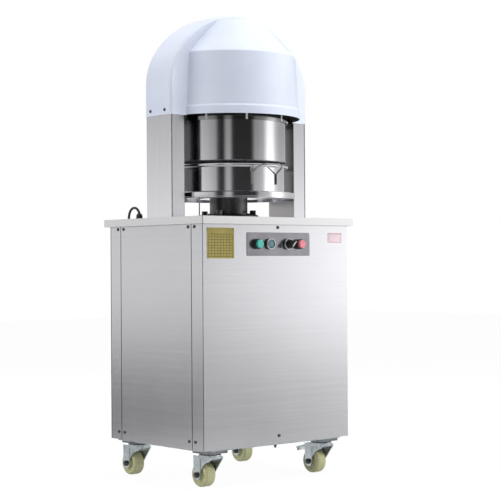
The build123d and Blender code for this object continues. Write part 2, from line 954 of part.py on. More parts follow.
def control_plate():
    flat = Pos(plate_x, plate_z) * RectangleRounded(plate_width, plate_height, plate_corner)
    for x in (start_x, lamp_x, selector_x, stop_x):
        flat -= Pos(x, device_z) * Circle(barrel_radius + barrel_fit)
    sheet = extrude(Plane(origin=(0, plate_front, 0), x_dir=(1, 0, 0), z_dir=(0, -1, 0)) * flat, -plate_sheet)
    return sheet


def device_body(x, bezel_height, bore):
    """Bezel in front of the plate, barrel through it, and lock nut and contact block behind it."""
    through = plate_sheet + panel_sheet
    back = through + contact_stand_off
    bezel = turned_forward(
        [
            (0, 0),
            (0, bezel_radius),
            (bezel_height - bezel_chamfer, bezel_radius),
            (bezel_height, bezel_radius - bezel_chamfer),
            (bezel_height, bore),
            (bezel_floor, bore),
            (bezel_floor, 0),
        ],
        x,
    )
    barrel = turned_forward(
        [
            (0, 0),
            (0, barrel_radius),
            (-through, barrel_radius),
            (-through, lock_nut_radius),
            (-through - lock_nut_height, lock_nut_radius),
            (-through - lock_nut_height, barrel_radius),
            (-back, barrel_radius),
            (-back, 0),
        ],
        x,
    )
    y = plate_front + back
    half = contact_side / 2
    contacts = block(
        (x - half, x + half),
        (y, y + contact_depth),
        (device_z - contact_height / 2, device_z + contact_height / 2),
    )
    return bezel + barrel + contacts


def button_bodies():
    push = button_radius + open_fit
    return [
        device_body(start_x, button_bezel_height, push),
        device_body(lamp_x, lamp_bezel_height, lens_radius + open_fit),
        device_body(selector_x, selector_bezel_height, selector_neck_radius + open_fit),
        device_body(stop_x, button_bezel_height, push),
    ]


def push_cap(x):
    return turned_forward(
        [
            (button_back, 0),
            (button_back, button_radius),
            (button_reach - button_rounding, button_radius),
            (button_reach, button_radius - button_rounding),
            (button_reach, 0),
        ],
        x,
    )


def lamp_lens():
    return turned_forward(
        [
            (bezel_floor, 0),
            (bezel_floor, lens_radius),
            (lamp_bezel_height - lens_crown, lens_radius),
            (lamp_bezel_height, lens_radius - 3 * lens_crown),
            (lamp_bezel_height, 0),
        ],
        lamp_x,
    )


def selector_knob():
    neck = turned_forward(
        [
            (bezel_floor, 0),
            (bezel_floor, selector_neck_radius),
            (selector_bezel_height + selector_neck_rise, selector_neck_radius),
            (selector_bezel_height + selector_neck_rise, 0),
        ],
        selector_x,
    )
    reach = (plate_front - selector_reach, plate_front - selector_bezel_height)
    lever = block(both(lever_width / 2), reach, both(lever_length / 2))
    lever = fillet(lever.edges().filter_by(Axis.Y), lever_width * 0.3)
    lever = fillet(lever.faces().sort_by(Axis.Y)[0].edges(), lever_width * 0.15)
    return neck + Pos(selector_x, 0, device_z) * Rot(0, lever_turn, 0) * lever


# Casters, each drawn about its swivel axis


def caster_plate():
    half = caster_plate_side / 2
    plate = block(both(half), both(half), (base_bottom - caster_plate_thick, base_bottom))
    plate = fillet(plate.edges().filter_by(Axis.Z), caster_plate_side / 10)
    race_low = base_bottom - caster_plate_thick - caster_race_height
    plate += upright(caster_race_radius, (race_low, base_bottom - caster_plate_thick))
    plate += upright(kingpin_radius, (kingpin_bottom, race_low))
    return plate + upright(kingpin_head_radius, (kingpin_bottom, kingpin_bottom + kingpin_head_height))


def caster_leg(scooped):
    """One leg of a fork, flat against x = 0: a gusset, scooped out on the left leg, and a raised strip."""
    top = Rectangle(leg_front + leg_rear, crown_height / 2)
    top = Pos((leg_rear - leg_front) / 2, middle(bridge_z)) * top
    foot = Pos(caster_trail, wheel_radius) * Circle(leg_boss)
    gusset = make_hull([*top.edges(), *foot.edges()])
    if scooped:
        gusset -= Pos(-leg_scoop_front, leg_scoop_height) * Circle(leg_scoop_radius)
    strip_z = (wheel_radius, bridge_z[1])
    strip = foot + Pos(caster_trail, middle(strip_z)) * Rectangle(2 * leg_boss, strip_z[1] - strip_z[0])
    return extrude(Plane.YZ * gusset, leg_sheet) + extrude(Plane.YZ * strip, leg_sheet + leg_rib)


def caster_fork(braked):
    crown = upright(crown_radius, (crown_bottom, crown_top))
    crown = fillet(crown.faces().sort_by(Axis.Z)[-1].edges(), crown_height / 4)
    bridge = block(both(leg_inner), (-leg_front, bridge_rear), bridge_z)
    outer = leg_inner + leg_sheet + leg_rib
    right_leg = Pos(leg_inner, 0, 0) * caster_leg(False)
    left_leg = mirror(Pos(leg_inner, 0, 0) * caster_leg(True), Plane.YZ)
    fork = crown + bridge + right_leg + left_leg
    fork -= upright(kingpin_radius + running_fit, (crown_bottom, crown_top))
    hole = axle_radius + running_fit
    fork -= cross_bar(hole, both(outer), caster_trail, wheel_radius)
    pieces = [fork, axle(outer)]
    if braked:
        pin_z = crown_bottom + pedal_pivot_rise
        pieces[0] = fork - cross_bar(pedal_pin_radius + running_fit, both(outer), pedal_pivot_y, pin_z)
        pieces.append(cross_bar(pedal_pin_radius, both(outer), pedal_pivot_y, pin_z))
    return pieces


def axle(outer):
    pin = cross_bar(axle_radius, both(outer), caster_trail, wheel_radius)
    head = extrude(Plane.YZ * RegularPolygon(axle_head_radius, 6), axle_head_height)
    pin += Pos(outer, caster_trail, wheel_radius) * head
    return pin + Pos(-outer - axle_head_height, caster_trail, wheel_radius) * head


def caster_wheel():
    half = wheel_width / 2
    bore = axle_radius + running_fit
    inner = wheel_radius - wheel_rim
    dish = half - wheel_dish
    tread = FilletPolyline(
        (-half, inner), (-half, wheel_radius), (half, wheel_radius), (half, inner), radius=wheel_rounding
    )
    side = Polyline(
        (half, inner),
        (dish, inner - wheel_dish),
        (dish, hub_radius),
        (hub_half_length, hub_radius),
        (hub_half_length, bore),
        (-hub_half_length, bore),
        (-hub_half_length, hub_radius),
        (-dish, hub_radius),
        (-dish, inner - wheel_dish),
        (-half, inner),
    )
    wheel = revolve(make_face(tread + side), Axis.X)
    return Pos(0, caster_trail, wheel_radius) * wheel


def brake_pedal():
    z = both(pedal_thick / 2)
    boss = cross_bar(pedal_boss, both(pedal_arm_half), 0, 0)
    arm = block(both(pedal_arm_half), (0, pedal_arm_length), z)
    tread = block(both(pedal_tread_half), (pedal_arm_length, pedal_length), z)
    tread = fillet(tread.edges().filter_by(Axis.Z), pedal_thick)
    lip_y = (pedal_length - pedal_thick, pedal_length)
    lip = block(both(pedal_tread_half - pedal_thick), lip_y, (-pedal_lip, 0))
    bore = cross_bar(pedal_pin_radius + running_fit, both(pedal_arm_half), 0, 0)
    pedal = Rot(-pedal_slope, 0, 0) * (boss + arm + tread + lip - bore)
    return Pos(0, pedal_pivot_y, crown_bottom + pedal_pivot_rise) * pedal


# Mains cord


def cord_gland():
    top = deck_top + gland_height
    low = deck_top + gland_nut_height
    nut = hexagon(gland_across, (deck_top, low), (gland_x, gland_y), 20)
    dome = turned(
        [
            (0, low),
            (gland_shoulder, low),
            (gland_shoulder, top - gland_height / 3),
            (gland_shoulder * 0.8, top - gland_height / 8),
            (gland_mouth, top),
            (0, top),
        ]
    )
    stem = upright(gland_stem_radius, (deck_under, deck_top), (gland_x, gland_y))
    return nut + Pos(gland_x, gland_y, 0) * dome + stem


def arc_radii(points):
    """The largest bend that each corner's two runs allow."""
    radii = []
    for before, corner, after in zip(points, points[1:], points[2:]):
        come, go = corner - before, after - corner
        turn = radians(come.get_angle(go))
        radii.append(0.45 * min(come.length, go.length) / tan(turn / 2))
    return radii


def cord_tube(points):
    path = FilletPolyline(*points, radius=arc_radii(points))
    section = Plane(origin=points[0], z_dir=points[1] - points[0]) * Circle(cord_diameter / 2)
    return sweep(section, path=path), path.length


def power_cord():
    exit_point = (gland_x, gland_y, deck_top + gland_height)
    coil_start = (coil_x - coil_radius, coil_y, coil_z + cord_diameter)
    last_bend = (coil_start[0], coil_start[1], coil_start[2] + cord_last_run)
    first_bend = (gland_x, gland_y, exit_point[2] + cord_first_run)
    bends = [(gland_x + x, half_depth + y, deck_top + z) for x, y, z in cord_bends]
    route = (exit_point, first_bend, *bends, last_bend, coil_start)
    points = [Vector(*point) for point in route]
    return points, *cord_tube(points)


def coil_radii():
    """The coil's radius at each half turn: in, a wide step, the climb, a wide step, and out."""
    radii = [coil_radius - number * coil_pitch / 2 for number in range(coil_half_turns_in + 1)]
    radii += [radii[-1] - coil_pitch] * 2
    radii.append(radii[-1] + coil_pitch)
    for _ in range(coil_half_turns_out):
        radii.append(radii[-1] + coil_pitch / 2)
    return radii + [coil_tail_radius]


def cord_coil():
    climb = coil_half_turns_in + 1
    places = []
    headings = []
    for number, radius in enumerate(coil_radii()):
        way = -1 if number % 2 == 0 else 1
        layer = 1 if number > climb else 0
        places.append(Vector(coil_x + way * radius, coil_y + layer * coil_pitch, coil_z))
        headings.append(Vector(0, 0, way))
    down = Vector(0, 0, -cord_diameter)
    edges = [Line(places[0] - down, places[0])]
    for number in range(len(places) - 1):
        edges += biarc(places[number], headings[number], places[number + 1], headings[number + 1])
    edges.append(Line(places[-1], places[-1] + down))
    path = Wire(edges)
    section = Plane(origin=edges[0] @ 0, z_dir=(0, 0, -1)) * Circle(cord_diameter / 2)
    return sweep(section, path=path), path, edges[-1] @ 1


def least_self_gap(path):
    """The least distance between stretches of the coil that are over a quarter turn apart."""
    count = 400
    points = [path @ (number / count) for number in range(count + 1)]
    apart = int(count * coil_radius * pi / 2 / path.length)
    return min(
        (points[i] - points[j]).length
        for i in range(count + 1)
        for j in range(i + apart, count + 1)
    ) - cord_diameter


def plug(top):
    z = (top.Z - plug_length, top.Z)
    half = plug_width / 2
    body = block(both(half), both(plug_thick / 2), z)
    body = fillet(body.edges().filter_by(Axis.Z), plug_thick * 0.3)
    body = fillet(body.faces().sort_by(Axis.Z)[-1].edges(), plug_thick * 0.2)
    for side in (-1, 1):
        body += upright(plug_pin_radius, (z[0] - plug_pin_length, z[0]), (side * plug_pin_half_pitch, 0))
    return Pos(top.X, top.Y, 0) * body


def main():
    os.makedirs("parts", exist_ok=True)
    save("chassis_frame", chassis_frame())
    save("base_plate", base_plate())
    save("corner_strips", *corner_strips())
    save("left_panel", side_panel(-1))
    save("right_panel", side_panel(1))
    save("front_panel", front_panel())
    save("rear_panel", rear_panel())
    save("deck", deck())
    save("cover_screws", *cover_screws())
    save("left_post", post(-1))
    save("right_post", post(1))
    save("post_covers", post_cover(-1), post_cover(1))
    save("crossbeam", crossbeam())
    save("hood", hood())
    save("ram_guide", *ram_guide())
    save("guide_bolts", *guide_bolts())
    save("ram", ram())
    save("lift_nut", lift_nut())
    save("lift_screw", lift_screw())
    save("screw_bearing", screw_bearing())
    save("screw_pulley", screw_pulley())
    save("motor_pulley", motor_pulley())
    save("drive_belt", drive_belt())
    save("motor", motor())
    save("control_box", control_box())
    save("limit_rod", limit_rod())
    save("limit_switches", *limit_switches())
    save("platform", platform())
    save("dough_pan", dough_pan())
    save("pan_handle", pan_handle())
    save("pressing_sleeve", pressing_sleeve())
    save("guide_ring", guide_ring())
    save("guide_slippers", *guide_slippers())
    save("knives", *knives())
    save("knife_carrier", knife_carrier())
    save("press_pads", *press_pads())
    save("press_carrier", press_carrier())
    save("tie_rods", *tie_rods())
    save("press_springs", *press_springs())
    save("control_plate", control_plate())
    save("button_bodies", *button_bodies())
    save("start_button", push_cap(start_x))
    save("stop_button", push_cap(stop_x))
    save("lamp_lens", lamp_lens())
    save("selector_knob", selector_knob())
    corners = {
        "front_left": (-caster_x, -caster_y),
        "front_right": (caster_x, -caster_y),
        "rear_left": (-caster_x, caster_y),
        "rear_right": (caster_x, caster_y),
    }
    save("caster_plates", *[Pos(x, y, 0) * caster_plate() for x, y in corners.values()])
    for name, (x, y) in corners.items():
        braked = name.endswith("right")
        save(f"caster_fork_{name}", *[Pos(x, y, 0) * piece for piece in caster_fork(braked)])
        save(f"caster_wheel_{name}", Pos(x, y, 0) * caster_wheel())
        if braked:
            save(f"brake_pedal_{name}", Pos(x, y, 0) * brake_pedal())
    save("cord_gland", cord_gland())
    points, cord, cord_length = power_cord()
    save("power_cord", cord)
    coil, coil_path, coil_end = cord_coil()
    save("cord_coil", coil)
    save("plug", plug(coil_end))

    section = pi * cord_diameter**2 / 4
    print("cord bends", [round(radius, 1) for radius in arc_radii(points)])
    print("cord volume over section times length", round(cord.volume / section / cord_length, 4))
    print("coil volume over section times length", round(coil.volume / section / coil_path.length, 4))
    print("cord length", round(cord_length), "coil length", round(coil_path.length))
    print("coil's least gap to itself", round(least_self_gap(coil_path), 2))
    print("lift travel", lift_travel, "sleeve travel", pan_rim + lift_travel + top_clear - sleeve_bottom)


main()
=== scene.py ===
import math
import bpy
from mathutils import Matrix, Vector


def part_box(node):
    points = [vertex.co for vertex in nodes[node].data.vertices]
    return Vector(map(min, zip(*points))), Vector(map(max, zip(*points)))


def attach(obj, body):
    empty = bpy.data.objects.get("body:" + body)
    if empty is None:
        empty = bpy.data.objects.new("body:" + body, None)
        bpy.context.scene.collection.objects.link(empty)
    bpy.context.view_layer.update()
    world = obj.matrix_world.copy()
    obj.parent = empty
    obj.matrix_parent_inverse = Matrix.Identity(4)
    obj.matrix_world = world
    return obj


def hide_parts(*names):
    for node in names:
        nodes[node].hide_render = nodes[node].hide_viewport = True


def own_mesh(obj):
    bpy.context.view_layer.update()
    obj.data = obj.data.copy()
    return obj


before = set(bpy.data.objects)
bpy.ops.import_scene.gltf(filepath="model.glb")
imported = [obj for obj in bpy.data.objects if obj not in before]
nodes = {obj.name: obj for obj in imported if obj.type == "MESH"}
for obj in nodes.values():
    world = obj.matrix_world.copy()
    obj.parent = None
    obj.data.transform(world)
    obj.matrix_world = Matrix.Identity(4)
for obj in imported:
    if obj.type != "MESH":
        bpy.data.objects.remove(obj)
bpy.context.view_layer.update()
bpy.ops.object.select_all(action="DESELECT")
print("frame loaded:", len(nodes), "nodes")


# camera, in metres and degrees: yaw from straight back towards the right, pitch up, roll clockwise
camera = {
    "place": (-2.99675, -3.62229, 0.66721),
    "yaw": 40.4255,
    "pitch": 0.5905,
    "roll": 0.370,
    "lens": 105.735,
    "sensor": 36.0,
    "clipEnd": 60,
}


def placeCamera(spec):
    yaw, pitch, roll = (math.radians(spec[key]) for key in ("yaw", "pitch", "roll"))
    ahead = Vector((math.sin(yaw) * math.cos(pitch),
                    math.cos(yaw) * math.cos(pitch),
                    math.sin(pitch)))
    level = Vector((math.cos(yaw), -math.sin(yaw), 0))
    down = ahead.cross(level)
    right = level * math.cos(roll) + down * math.sin(roll)
    below = down * math.cos(roll) - level * math.sin(roll)
    turn = Matrix((right, -below, -ahead)).transposed().to_4x4()
    bpy.ops.object.camera_add()
    cam = bpy.context.object
    cam.name = "photoCamera"
    cam.matrix_world = Matrix.Translation(spec["place"]) @ turn
    cam.data.lens = spec["lens"]
    cam.data.sensor_width = spec["sensor"]
    cam.data.clip_end = spec["clipEnd"]
    bpy.context.scene.camera = cam


placeCamera(camera)
print("camera placed")


# one wrapped socket: arithmetic adds Math nodes, node() adds any other
class Sock:
    def __init__(self, tree, socket=None):
        self.tree = tree
        self.socket = socket

    def node(self, kind, settings=None, sockets=None, out=0):
        made = self.tree.nodes.new("ShaderNode" + kind)
        for name, value in (settings or {}).items():
            if name == "stops":
                self.setStops(made.color_ramp.elements, value)
            else:
                setattr(made, name, value)
        for name, value in (sockets or {}).items():
            if isinstance(value, Sock):
                self.tree.links.new(value.socket, made.inputs[name])
            else:
                made.inputs[name].default_value = value
        return Sock(self.tree, made.outputs[out] if made.outputs else None)

    def setStops(self, elements, stops):
        elements[0].position = stops[0][0]
        elements[1].position = stops[-1][0]
        for stop in stops[1:-1]:
            elements.new(stop[0])
        for element, stop in zip(elements, stops):
            element.color = (stop[1], stop[1], stop[1], 1)

    def maths(self, operation, first, second=0.0, clamp=False):
        settings = {"operation": operation, "use_clamp": clamp}
        return self.node("Math", settings, {0: first, 1: second})

    def __add__(self, other):
        return self.maths("ADD", self, other)

    __radd__ = __add__

    def __sub__(self, other):
        return self.maths("SUBTRACT", self, other)

    def __rsub__(self, other):
        return self.maths("SUBTRACT", other, self)

    def __mul__(self, other):
        return self.maths("MULTIPLY", self, other)

    __rmul__ = __mul__

    def __truediv__(self, other):
        return self.maths("DIVIDE", self, other)

    def __pow__(self, other):
        return self.maths("POWER", self, other)


def rgba(tone):
    return (*tone, 1.0)


# how a grain is mixed: narrow lines, and wide ones that run on for longer
grainMix = {
    "pace": 2.5,
    "widePace": 0.32,
    "narrow": {"detail": 4, "roughness": 0.6},
    "wide": {"detail": 2, "roughness": 0.5},
    "narrowShare": 0.75,
    "wideShare": 0.25,
}


class Finish(Sock):
    # a material under construction, with the patterns that several finishes share
    def __init__(self, name):
        self.material = bpy.data.materials.new(name)
        self.material.use_nodes = True
        self.material.node_tree.nodes.clear()
        super().__init__(self.material.node_tree)
        self.place = self.node("TexCoord", out="Object")

    def axis(self, letter):
        return self.node("SeparateXYZ", None, {0: self.place}, letter)

    def radius(self):
        # distance from the machine's upright axis
        return (self.axis("X") ** 2 + self.axis("Y") ** 2) ** 0.5

    def stretched(self, scale):
        return self.node("Mapping", None, {"Vector": self.place, "Scale": scale})

    def noise(self, scale, detail=3.0, roughness=0.55, vector=None):
        sockets = {"Vector": vector or self.place, "Scale": scale,
                   "Detail": detail, "Roughness": roughness}
        return self.node("TexNoise", None, sockets)

    def cells(self, scale):
        return self.node("TexVoronoi", None, {"Vector": self.place, "Scale": scale}, "Color")

    def streaks(self, along, fine, coarse, pace=grainMix["pace"]):
        # grain that runs along the given axes: slow that way, quick across them
        widePace = pace * grainMix["widePace"]
        narrow = self.stretched([pace if letter in along else fine for letter in "xyz"])
        wide = self.stretched([widePace if letter in along else coarse for letter in "xyz"])
        narrow = self.noise(1.0, vector=narrow, **grainMix["narrow"])
        wide = self.noise(1.0, vector=wide, **grainMix["wide"])
        return narrow * grainMix["narrowShare"] + wide * grainMix["wideShare"]

    def between(self, factor, first, second):
        settings = {"data_type": "RGBA", "clamp_factor": True}
        first, second = (tone if isinstance(tone, Sock) else rgba(tone) for tone in (first, second))
        return self.node("Mix", settings, {0: factor, 6: first, 7: second}, 2)

    def spread(self, value, low, high):
        # stretch the middle of a pattern over 0 to 1
        sockets = {"Value": value, "From Min": low, "From Max": high}
        return self.node("MapRange", {"clamp": True}, sockets)

    def patches(self, scale, detail, low, high):
        return self.spread(self.noise(scale, detail), low, high)

    def inside(self, value, low, high):
        return self.maths("GREATER_THAN", value, low) * self.maths("LESS_THAN", value, high)

    def ruled(self, value, start, pitch, width):
        # evenly spaced lines across one axis
        return self.maths("LESS_THAN", self.maths("FRACT", (value - start) / pitch), width / pitch)

    def bump(self, height, strength, distance):
        sockets = {"Height": height, "Strength": strength, "Distance": distance}
        return self.node("Bump", None, sockets)

    def done(self, **sockets):
        names = {"colour": "Base Color", "rough": "Roughness", "metal": "Metallic",
                 "normal": "Normal", "coat": "Coat Weight", "coatRough": "Coat Roughness"}
        sockets = {names[key]: value for key, value in sockets.items()}
        shader = self.node("BsdfPrincipled", None, sockets)
        self.node("OutputMaterial", None, {"Surface": shader})
        return self.material


# in every finish below: lines are a fine and a coarse scale, patches and stains are a noise's scale
# and detail and the part of it that is spread out, relief is a bump's strength and depth

# brushed sheet: fine grain and longer strokes along the brush, over slow clouds
brushedSheet = {
    "along": "xy",
    "dark": (0.50, 0.50, 0.52),
    "pale": (0.575, 0.575, 0.597),
    "grain": (1500, 110),
    "strokes": (280, 130, 2.0),
    "clouds": (3.2, 2),
    "toneShares": (0.47, 0.29, 0.24),
    "contrast": (0.32, 0.68),
    "rough": 0.25,
    "roughDip": 0.06,
    "smears": (7.0, 3),
    "roughShares": (0.07, 0.03, 0.03),
    "relief": (0.08, 0.0004),
}


def brushedSteel(name, **own):
    spec = {**brushedSheet, **own}
    f = Finish(name)
    grain = f.streaks(spec["along"], *spec["grain"])
    strokes = f.streaks(spec["along"], *spec["strokes"])
    byGrain, byStroke, byCloud = spec["toneShares"]
    tone = grain * byGrain + strokes * byStroke + f.noise(*spec["clouds"]) * byCloud
    colour = f.between(f.spread(tone, *spec["contrast"]), spec["dark"], spec["pale"])
    if "mill" in spec:
        # faces nearer the middle than this are painted darker: painted shade on the posts' inner webs
        within = f.inside(f.axis("X"), -spec["millWithin"], spec["millWithin"])
        colour = f.between(within, colour, spec["mill"])
    byGrain, byStroke, bySmear = spec["roughShares"]
    rough = spec["rough"] - spec["roughDip"] + byGrain * grain + byStroke * strokes
    rough = rough + bySmear * f.noise(*spec["smears"])
    return f.done(colour=colour, rough=rough, metal=1.0, normal=f.bump(grain, *spec["relief"]))


# polished sheet: faint grain, smudges and a slow ripple
polishedSheet = {
    "along": "z",
    "dark": (0.65, 0.65, 0.675),
    "pale": (0.74, 0.74, 0.765),
    "grain": (900, 60),
    "contrast": (0.3, 0.7),
    "rough": 0.06,
    "smudges": (11.0, 4, 0.45, 0.75),
    "roughShares": (0.05, 0.05),
    "ripple": (9.0, 1),
    "relief": (0.03, 0.002),
}


def mirrorSteel(name, **own):
    spec = {**polishedSheet, **own}
    f = Finish(name)
    grain = f.streaks(spec["along"], *spec["grain"])
    byGrain, bySmudge = spec["roughShares"]
    rough = spec["rough"] + byGrain * grain + bySmudge * f.patches(*spec["smudges"])
    colour = f.between(f.spread(grain, *spec["contrast"]), spec["dark"], spec["pale"])
    ripple = f.bump(f.noise(*spec["ripple"]), *spec["relief"])
    return f.done(colour=colour, rough=rough, metal=1.0, normal=ripple)


# white enamel of the hood, with the inside just above its lip painted near-black as painted shade
hoodEnamel = {
    "dark": (0.68, 0.735, 0.875),
    "pale": (0.745, 0.80, 0.925),
    "innerShade": (0.10, 0.10, 0.105),
    "innerShadeRadius": 0.2286,
    "innerShadeTop": 1.152,
    "dust": (5.0, 4, 0.35, 0.7),
    "rough": 0.30,
    "dustRough": 0.10,
    "coat": 0.25,
    "coatRough": 0.18,
    "peel": (650.0, 2),
    "relief": (0.06, 0.0003),
}


def paintedHood(name, spec):
    f = Finish(name)
    dust = f.patches(*spec["dust"])
    enamel = f.between(dust, spec["dark"], spec["pale"])
    # painted shade: faces inside the hood, just above its lip, are coloured near-black
    behind = f.maths("LESS_THAN", f.radius(), spec["innerShadeRadius"])
    behind = behind * f.maths("LESS_THAN", f.axis("Z"), spec["innerShadeTop"])
    return f.done(colour=f.between(behind, enamel, spec["innerShade"]),
                  rough=spec["rough"] + spec["dustRough"] * dust,
                  coat=spec["coat"], coatRough=spec["coatRough"],
                  normal=f.bump(f.noise(*spec["peel"]), *spec["relief"]))


# metals with tool marks: iron, bronze, turned steel and the lacquered plate
blackedIron = {
    "along": "xy",
    "lines": (2200, 160),
    "patches": (38.0, 5, 0.55, 0.8),
    "dark": (0.075, 0.075, 0.078),
    "pale": (0.150, 0.150, 0.155),
    "rough": 0.24,
    "lineRough": 0.10,
    "metal": 0.85,
    "relief": (0.10, 0.0004),
}
nutBronze = {
    "along": "xy",
    "lines": (2200, 150),
    "patches": (26.0, 4, 0.35, 0.7),
    "dark": (0.36, 0.21, 0.09),
    "pale": (0.58, 0.38, 0.17),
    "rough": 0.28,
    "lineRough": 0.12,
    "metal": 1.0,
    "relief": (0.10, 0.0003),
}
turnedSteel = {
    "along": "xy",
    "lines": (2600, 200),
    "dark": (0.40, 0.40, 0.41),
    "pale": (0.62, 0.62, 0.63),
    "rough": 0.24,
    "lineRough": 0.12,
    "metal": 1.0,
    "relief": (0.12, 0.0003),
}
greyPlate = {
    "along": "x",
    "lines": (1800, 120),
    "patches": (24.0, 3, 0.35, 0.7),
    "dark": (0.185, 0.183, 0.200),
    "pale": (0.225, 0.222, 0.240),
    "rough": 0.16,
    "lineRough": 0.10,
    "metal": 0.9,
    "relief": (0.06, 0.0003),
}


def toolMarked(name, metal, **own):
    spec = {**metal, **own}
    f = Finish(name)
    lines = f.streaks(spec["along"], *spec["lines"])
    tone = f.patches(*spec["patches"]) if "patches" in spec else lines
    return f.done(colour=f.between(tone, spec["dark"], spec["pale"]),
                  rough=spec["rough"] + spec["lineRough"] * lines,
                  metal=spec["metal"], normal=f.bump(lines, *spec["relief"]))


# paint and rubber: worn patches over a fine grit
dullPaint = {
    "patches": (60.0, 5, 0.4, 0.75),
    "dark": (0.055, 0.06, 0.065),
    "pale": (0.10, 0.105, 0.11),
    "rough": 0.45,
    "patchRough": 0.15,
    "grit": (900.0, 2),
    "relief": (0.08, 0.0003),
}
cordRubber = {
    "patches": (160.0, 4, 0.45, 0.8),
    "dark": (0.016, 0.016, 0.017),
    "pale": (0.045, 0.045, 0.046),
    "rough": 0.46,
    "patchRough": 0.14,
    "grit": (1400.0, 2),
    "relief": (0.10, 0.0002),
}


def wornCoat(name, spec):
    f = Finish(name)
    worn = f.patches(*spec["patches"])
    return f.done(colour=f.between(worn, spec["dark"], spec["pale"]),
                  rough=spec["rough"] + spec["patchRough"] * worn,
                  normal=f.bump(f.noise(*spec["grit"]), *spec["relief"]))


# zinc plating: small spangles under stains
zincCoat = {
    "spangle": 170.0,
    "stain": (30.0, 4, 0.35, 0.75),
    "toneShares": (0.6, 0.4),
    "dark": (0.34, 0.38, 0.40),
    "pale": (0.64, 0.68, 0.71),
    "rough": 0.20,
    "stainRough": 0.14,
    "metal": 0.95,
    "grit": (420.0, 3),
    "relief": (0.10, 0.0004),
}


def zincPlate(name, **own):
    spec = {**zincCoat, **own}
    f = Finish(name)
    stain = f.patches(*spec["stain"])
    byStain, bySpangle = spec["toneShares"]
    tone = byStain * stain + bySpangle * f.cells(spec["spangle"])
    return f.done(colour=f.between(tone, spec["dark"], spec["pale"]),
                  rough=spec["rough"] + spec["stainRough"] * stain, metal=spec["metal"],
                  normal=f.bump(f.noise(*spec["grit"]), *spec["relief"]))


# sand-cast aluminium
sandCasting = {
    "sand": (520.0, 4),
    "clouds": (16.0, 3),
    "dark": (0.46, 0.47, 0.48),
    "pale": (0.60, 0.61, 0.62),
    "rough": 0.48,
    "sandRough": 0.14,
    "metal": 0.9,
    "relief": (0.30, 0.0006),
}


def castAluminium(name, spec):
    f = Finish(name)
    sand = f.noise(*spec["sand"])
    return f.done(colour=f.between(f.noise(*spec["clouds"]), spec["dark"], spec["pale"]),
                  rough=spec["rough"] + spec["sandRough"] * sand, metal=spec["metal"],
                  normal=f.bump(sand, *spec["relief"]))


# moulded plastic: faint clouds and a fine grit
moulding = {
    "clouds": (45.0, 4, 0.35, 0.7),
    "grit": (900.0, 2),
    "roughShares": (0.10, 0.05),
    "coat": 0.0,
    "coatRough": 0.1,
    "relief": (0.08, 0.0003),
}


def mouldedPlastic(name, dark, pale, rough, coat=moulding["coat"]):
    f = Finish(name)
    clouds = f.patches(*moulding["clouds"])
    grit = f.noise(*moulding["grit"])
    byGrit, byCloud = moulding["roughShares"]
    return f.done(colour=f.between(clouds, dark, pale),
                  rough=rough + byGrit * grit + byCloud * clouds,
                  coat=coat, coatRough=moulding["coatRough"],
                  normal=f.bump(grit, *moulding["relief"]))


# mains plug: black moulding above, brass pins below
plugShell = {
    "pinLength": 0.0188,
    "dark": (0.012, 0.012, 0.013),
    "pale": (0.026, 0.026, 0.027),
    "brass": (0.64, 0.43, 0.16),
    "rough": 0.38,
    "scuffRough": 0.08,
    "pinPolish": 0.14,
}


def plugMoulding(name, spec):
    f = Finish(name)
    pins = f.maths("LESS_THAN", f.axis("Z"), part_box("plug")[0].z + spec["pinLength"])
    scuff = f.patches(*moulding["clouds"])
    shell = f.between(scuff, spec["dark"], spec["pale"])
    return f.done(colour=f.between(pins, shell, spec["brass"]),
                  rough=spec["rough"] + spec["scuffRough"] * scuff - spec["pinPolish"] * pins,
                  metal=pins, normal=f.bump(f.noise(*moulding["grit"]), *moulding["relief"]))


# the record's material slots
finishes = {
    "brushed_stainless": brushedSteel("brushedSteelLevel"),
    "mirror_stainless": mirrorSteel("mirrorSteel"),
    "hood_white": paintedHood("hoodPaint", hoodEnamel),
    "black_iron": toolMarked("blackIron", blackedIron),
    "frame_paint": wornCoat("framePaint", dullPaint),
    "zinc_plate": zincPlate("zincPlate"),
    "machined_steel": toolMarked("machinedSteel", turnedSteel),
    "cast_aluminium": castAluminium("castAluminium", sandCasting),
    "bronze": toolMarked("bronze", nutBronze),
    "white_nylon": mouldedPlastic("whiteNylon", (0.80, 0.80, 0.77), (0.88, 0.88, 0.86), 0.38),
    "green_nylon": mouldedPlastic("greenNylon", (0.50, 0.50, 0.27), (0.61, 0.60, 0.35), 0.40),
    "plate_grey": toolMarked("plateGrey", greyPlate),
    "black_plastic": mouldedPlastic("blackPlastic", (0.010, 0.010, 0.011), (0.022, 0.022, 0.023), 0.30),
    "green_plastic": mouldedPlastic("greenPlastic", (0.05, 0.45, 0.37), (0.08, 0.55, 0.47), 0.25, 0.4),
    "red_plastic": mouldedPlastic("redPlastic", (0.76, 0.18, 0.22), (0.86, 0.25, 0.29), 0.25, 0.4),
    "teal_lens": mouldedPlastic("tealLens", (0.045, 0.14, 0.17), (0.07, 0.19, 0.22), 0.14, 0.5),
    "black_rubber": wornCoat("cordRubber", cordRubber),
}

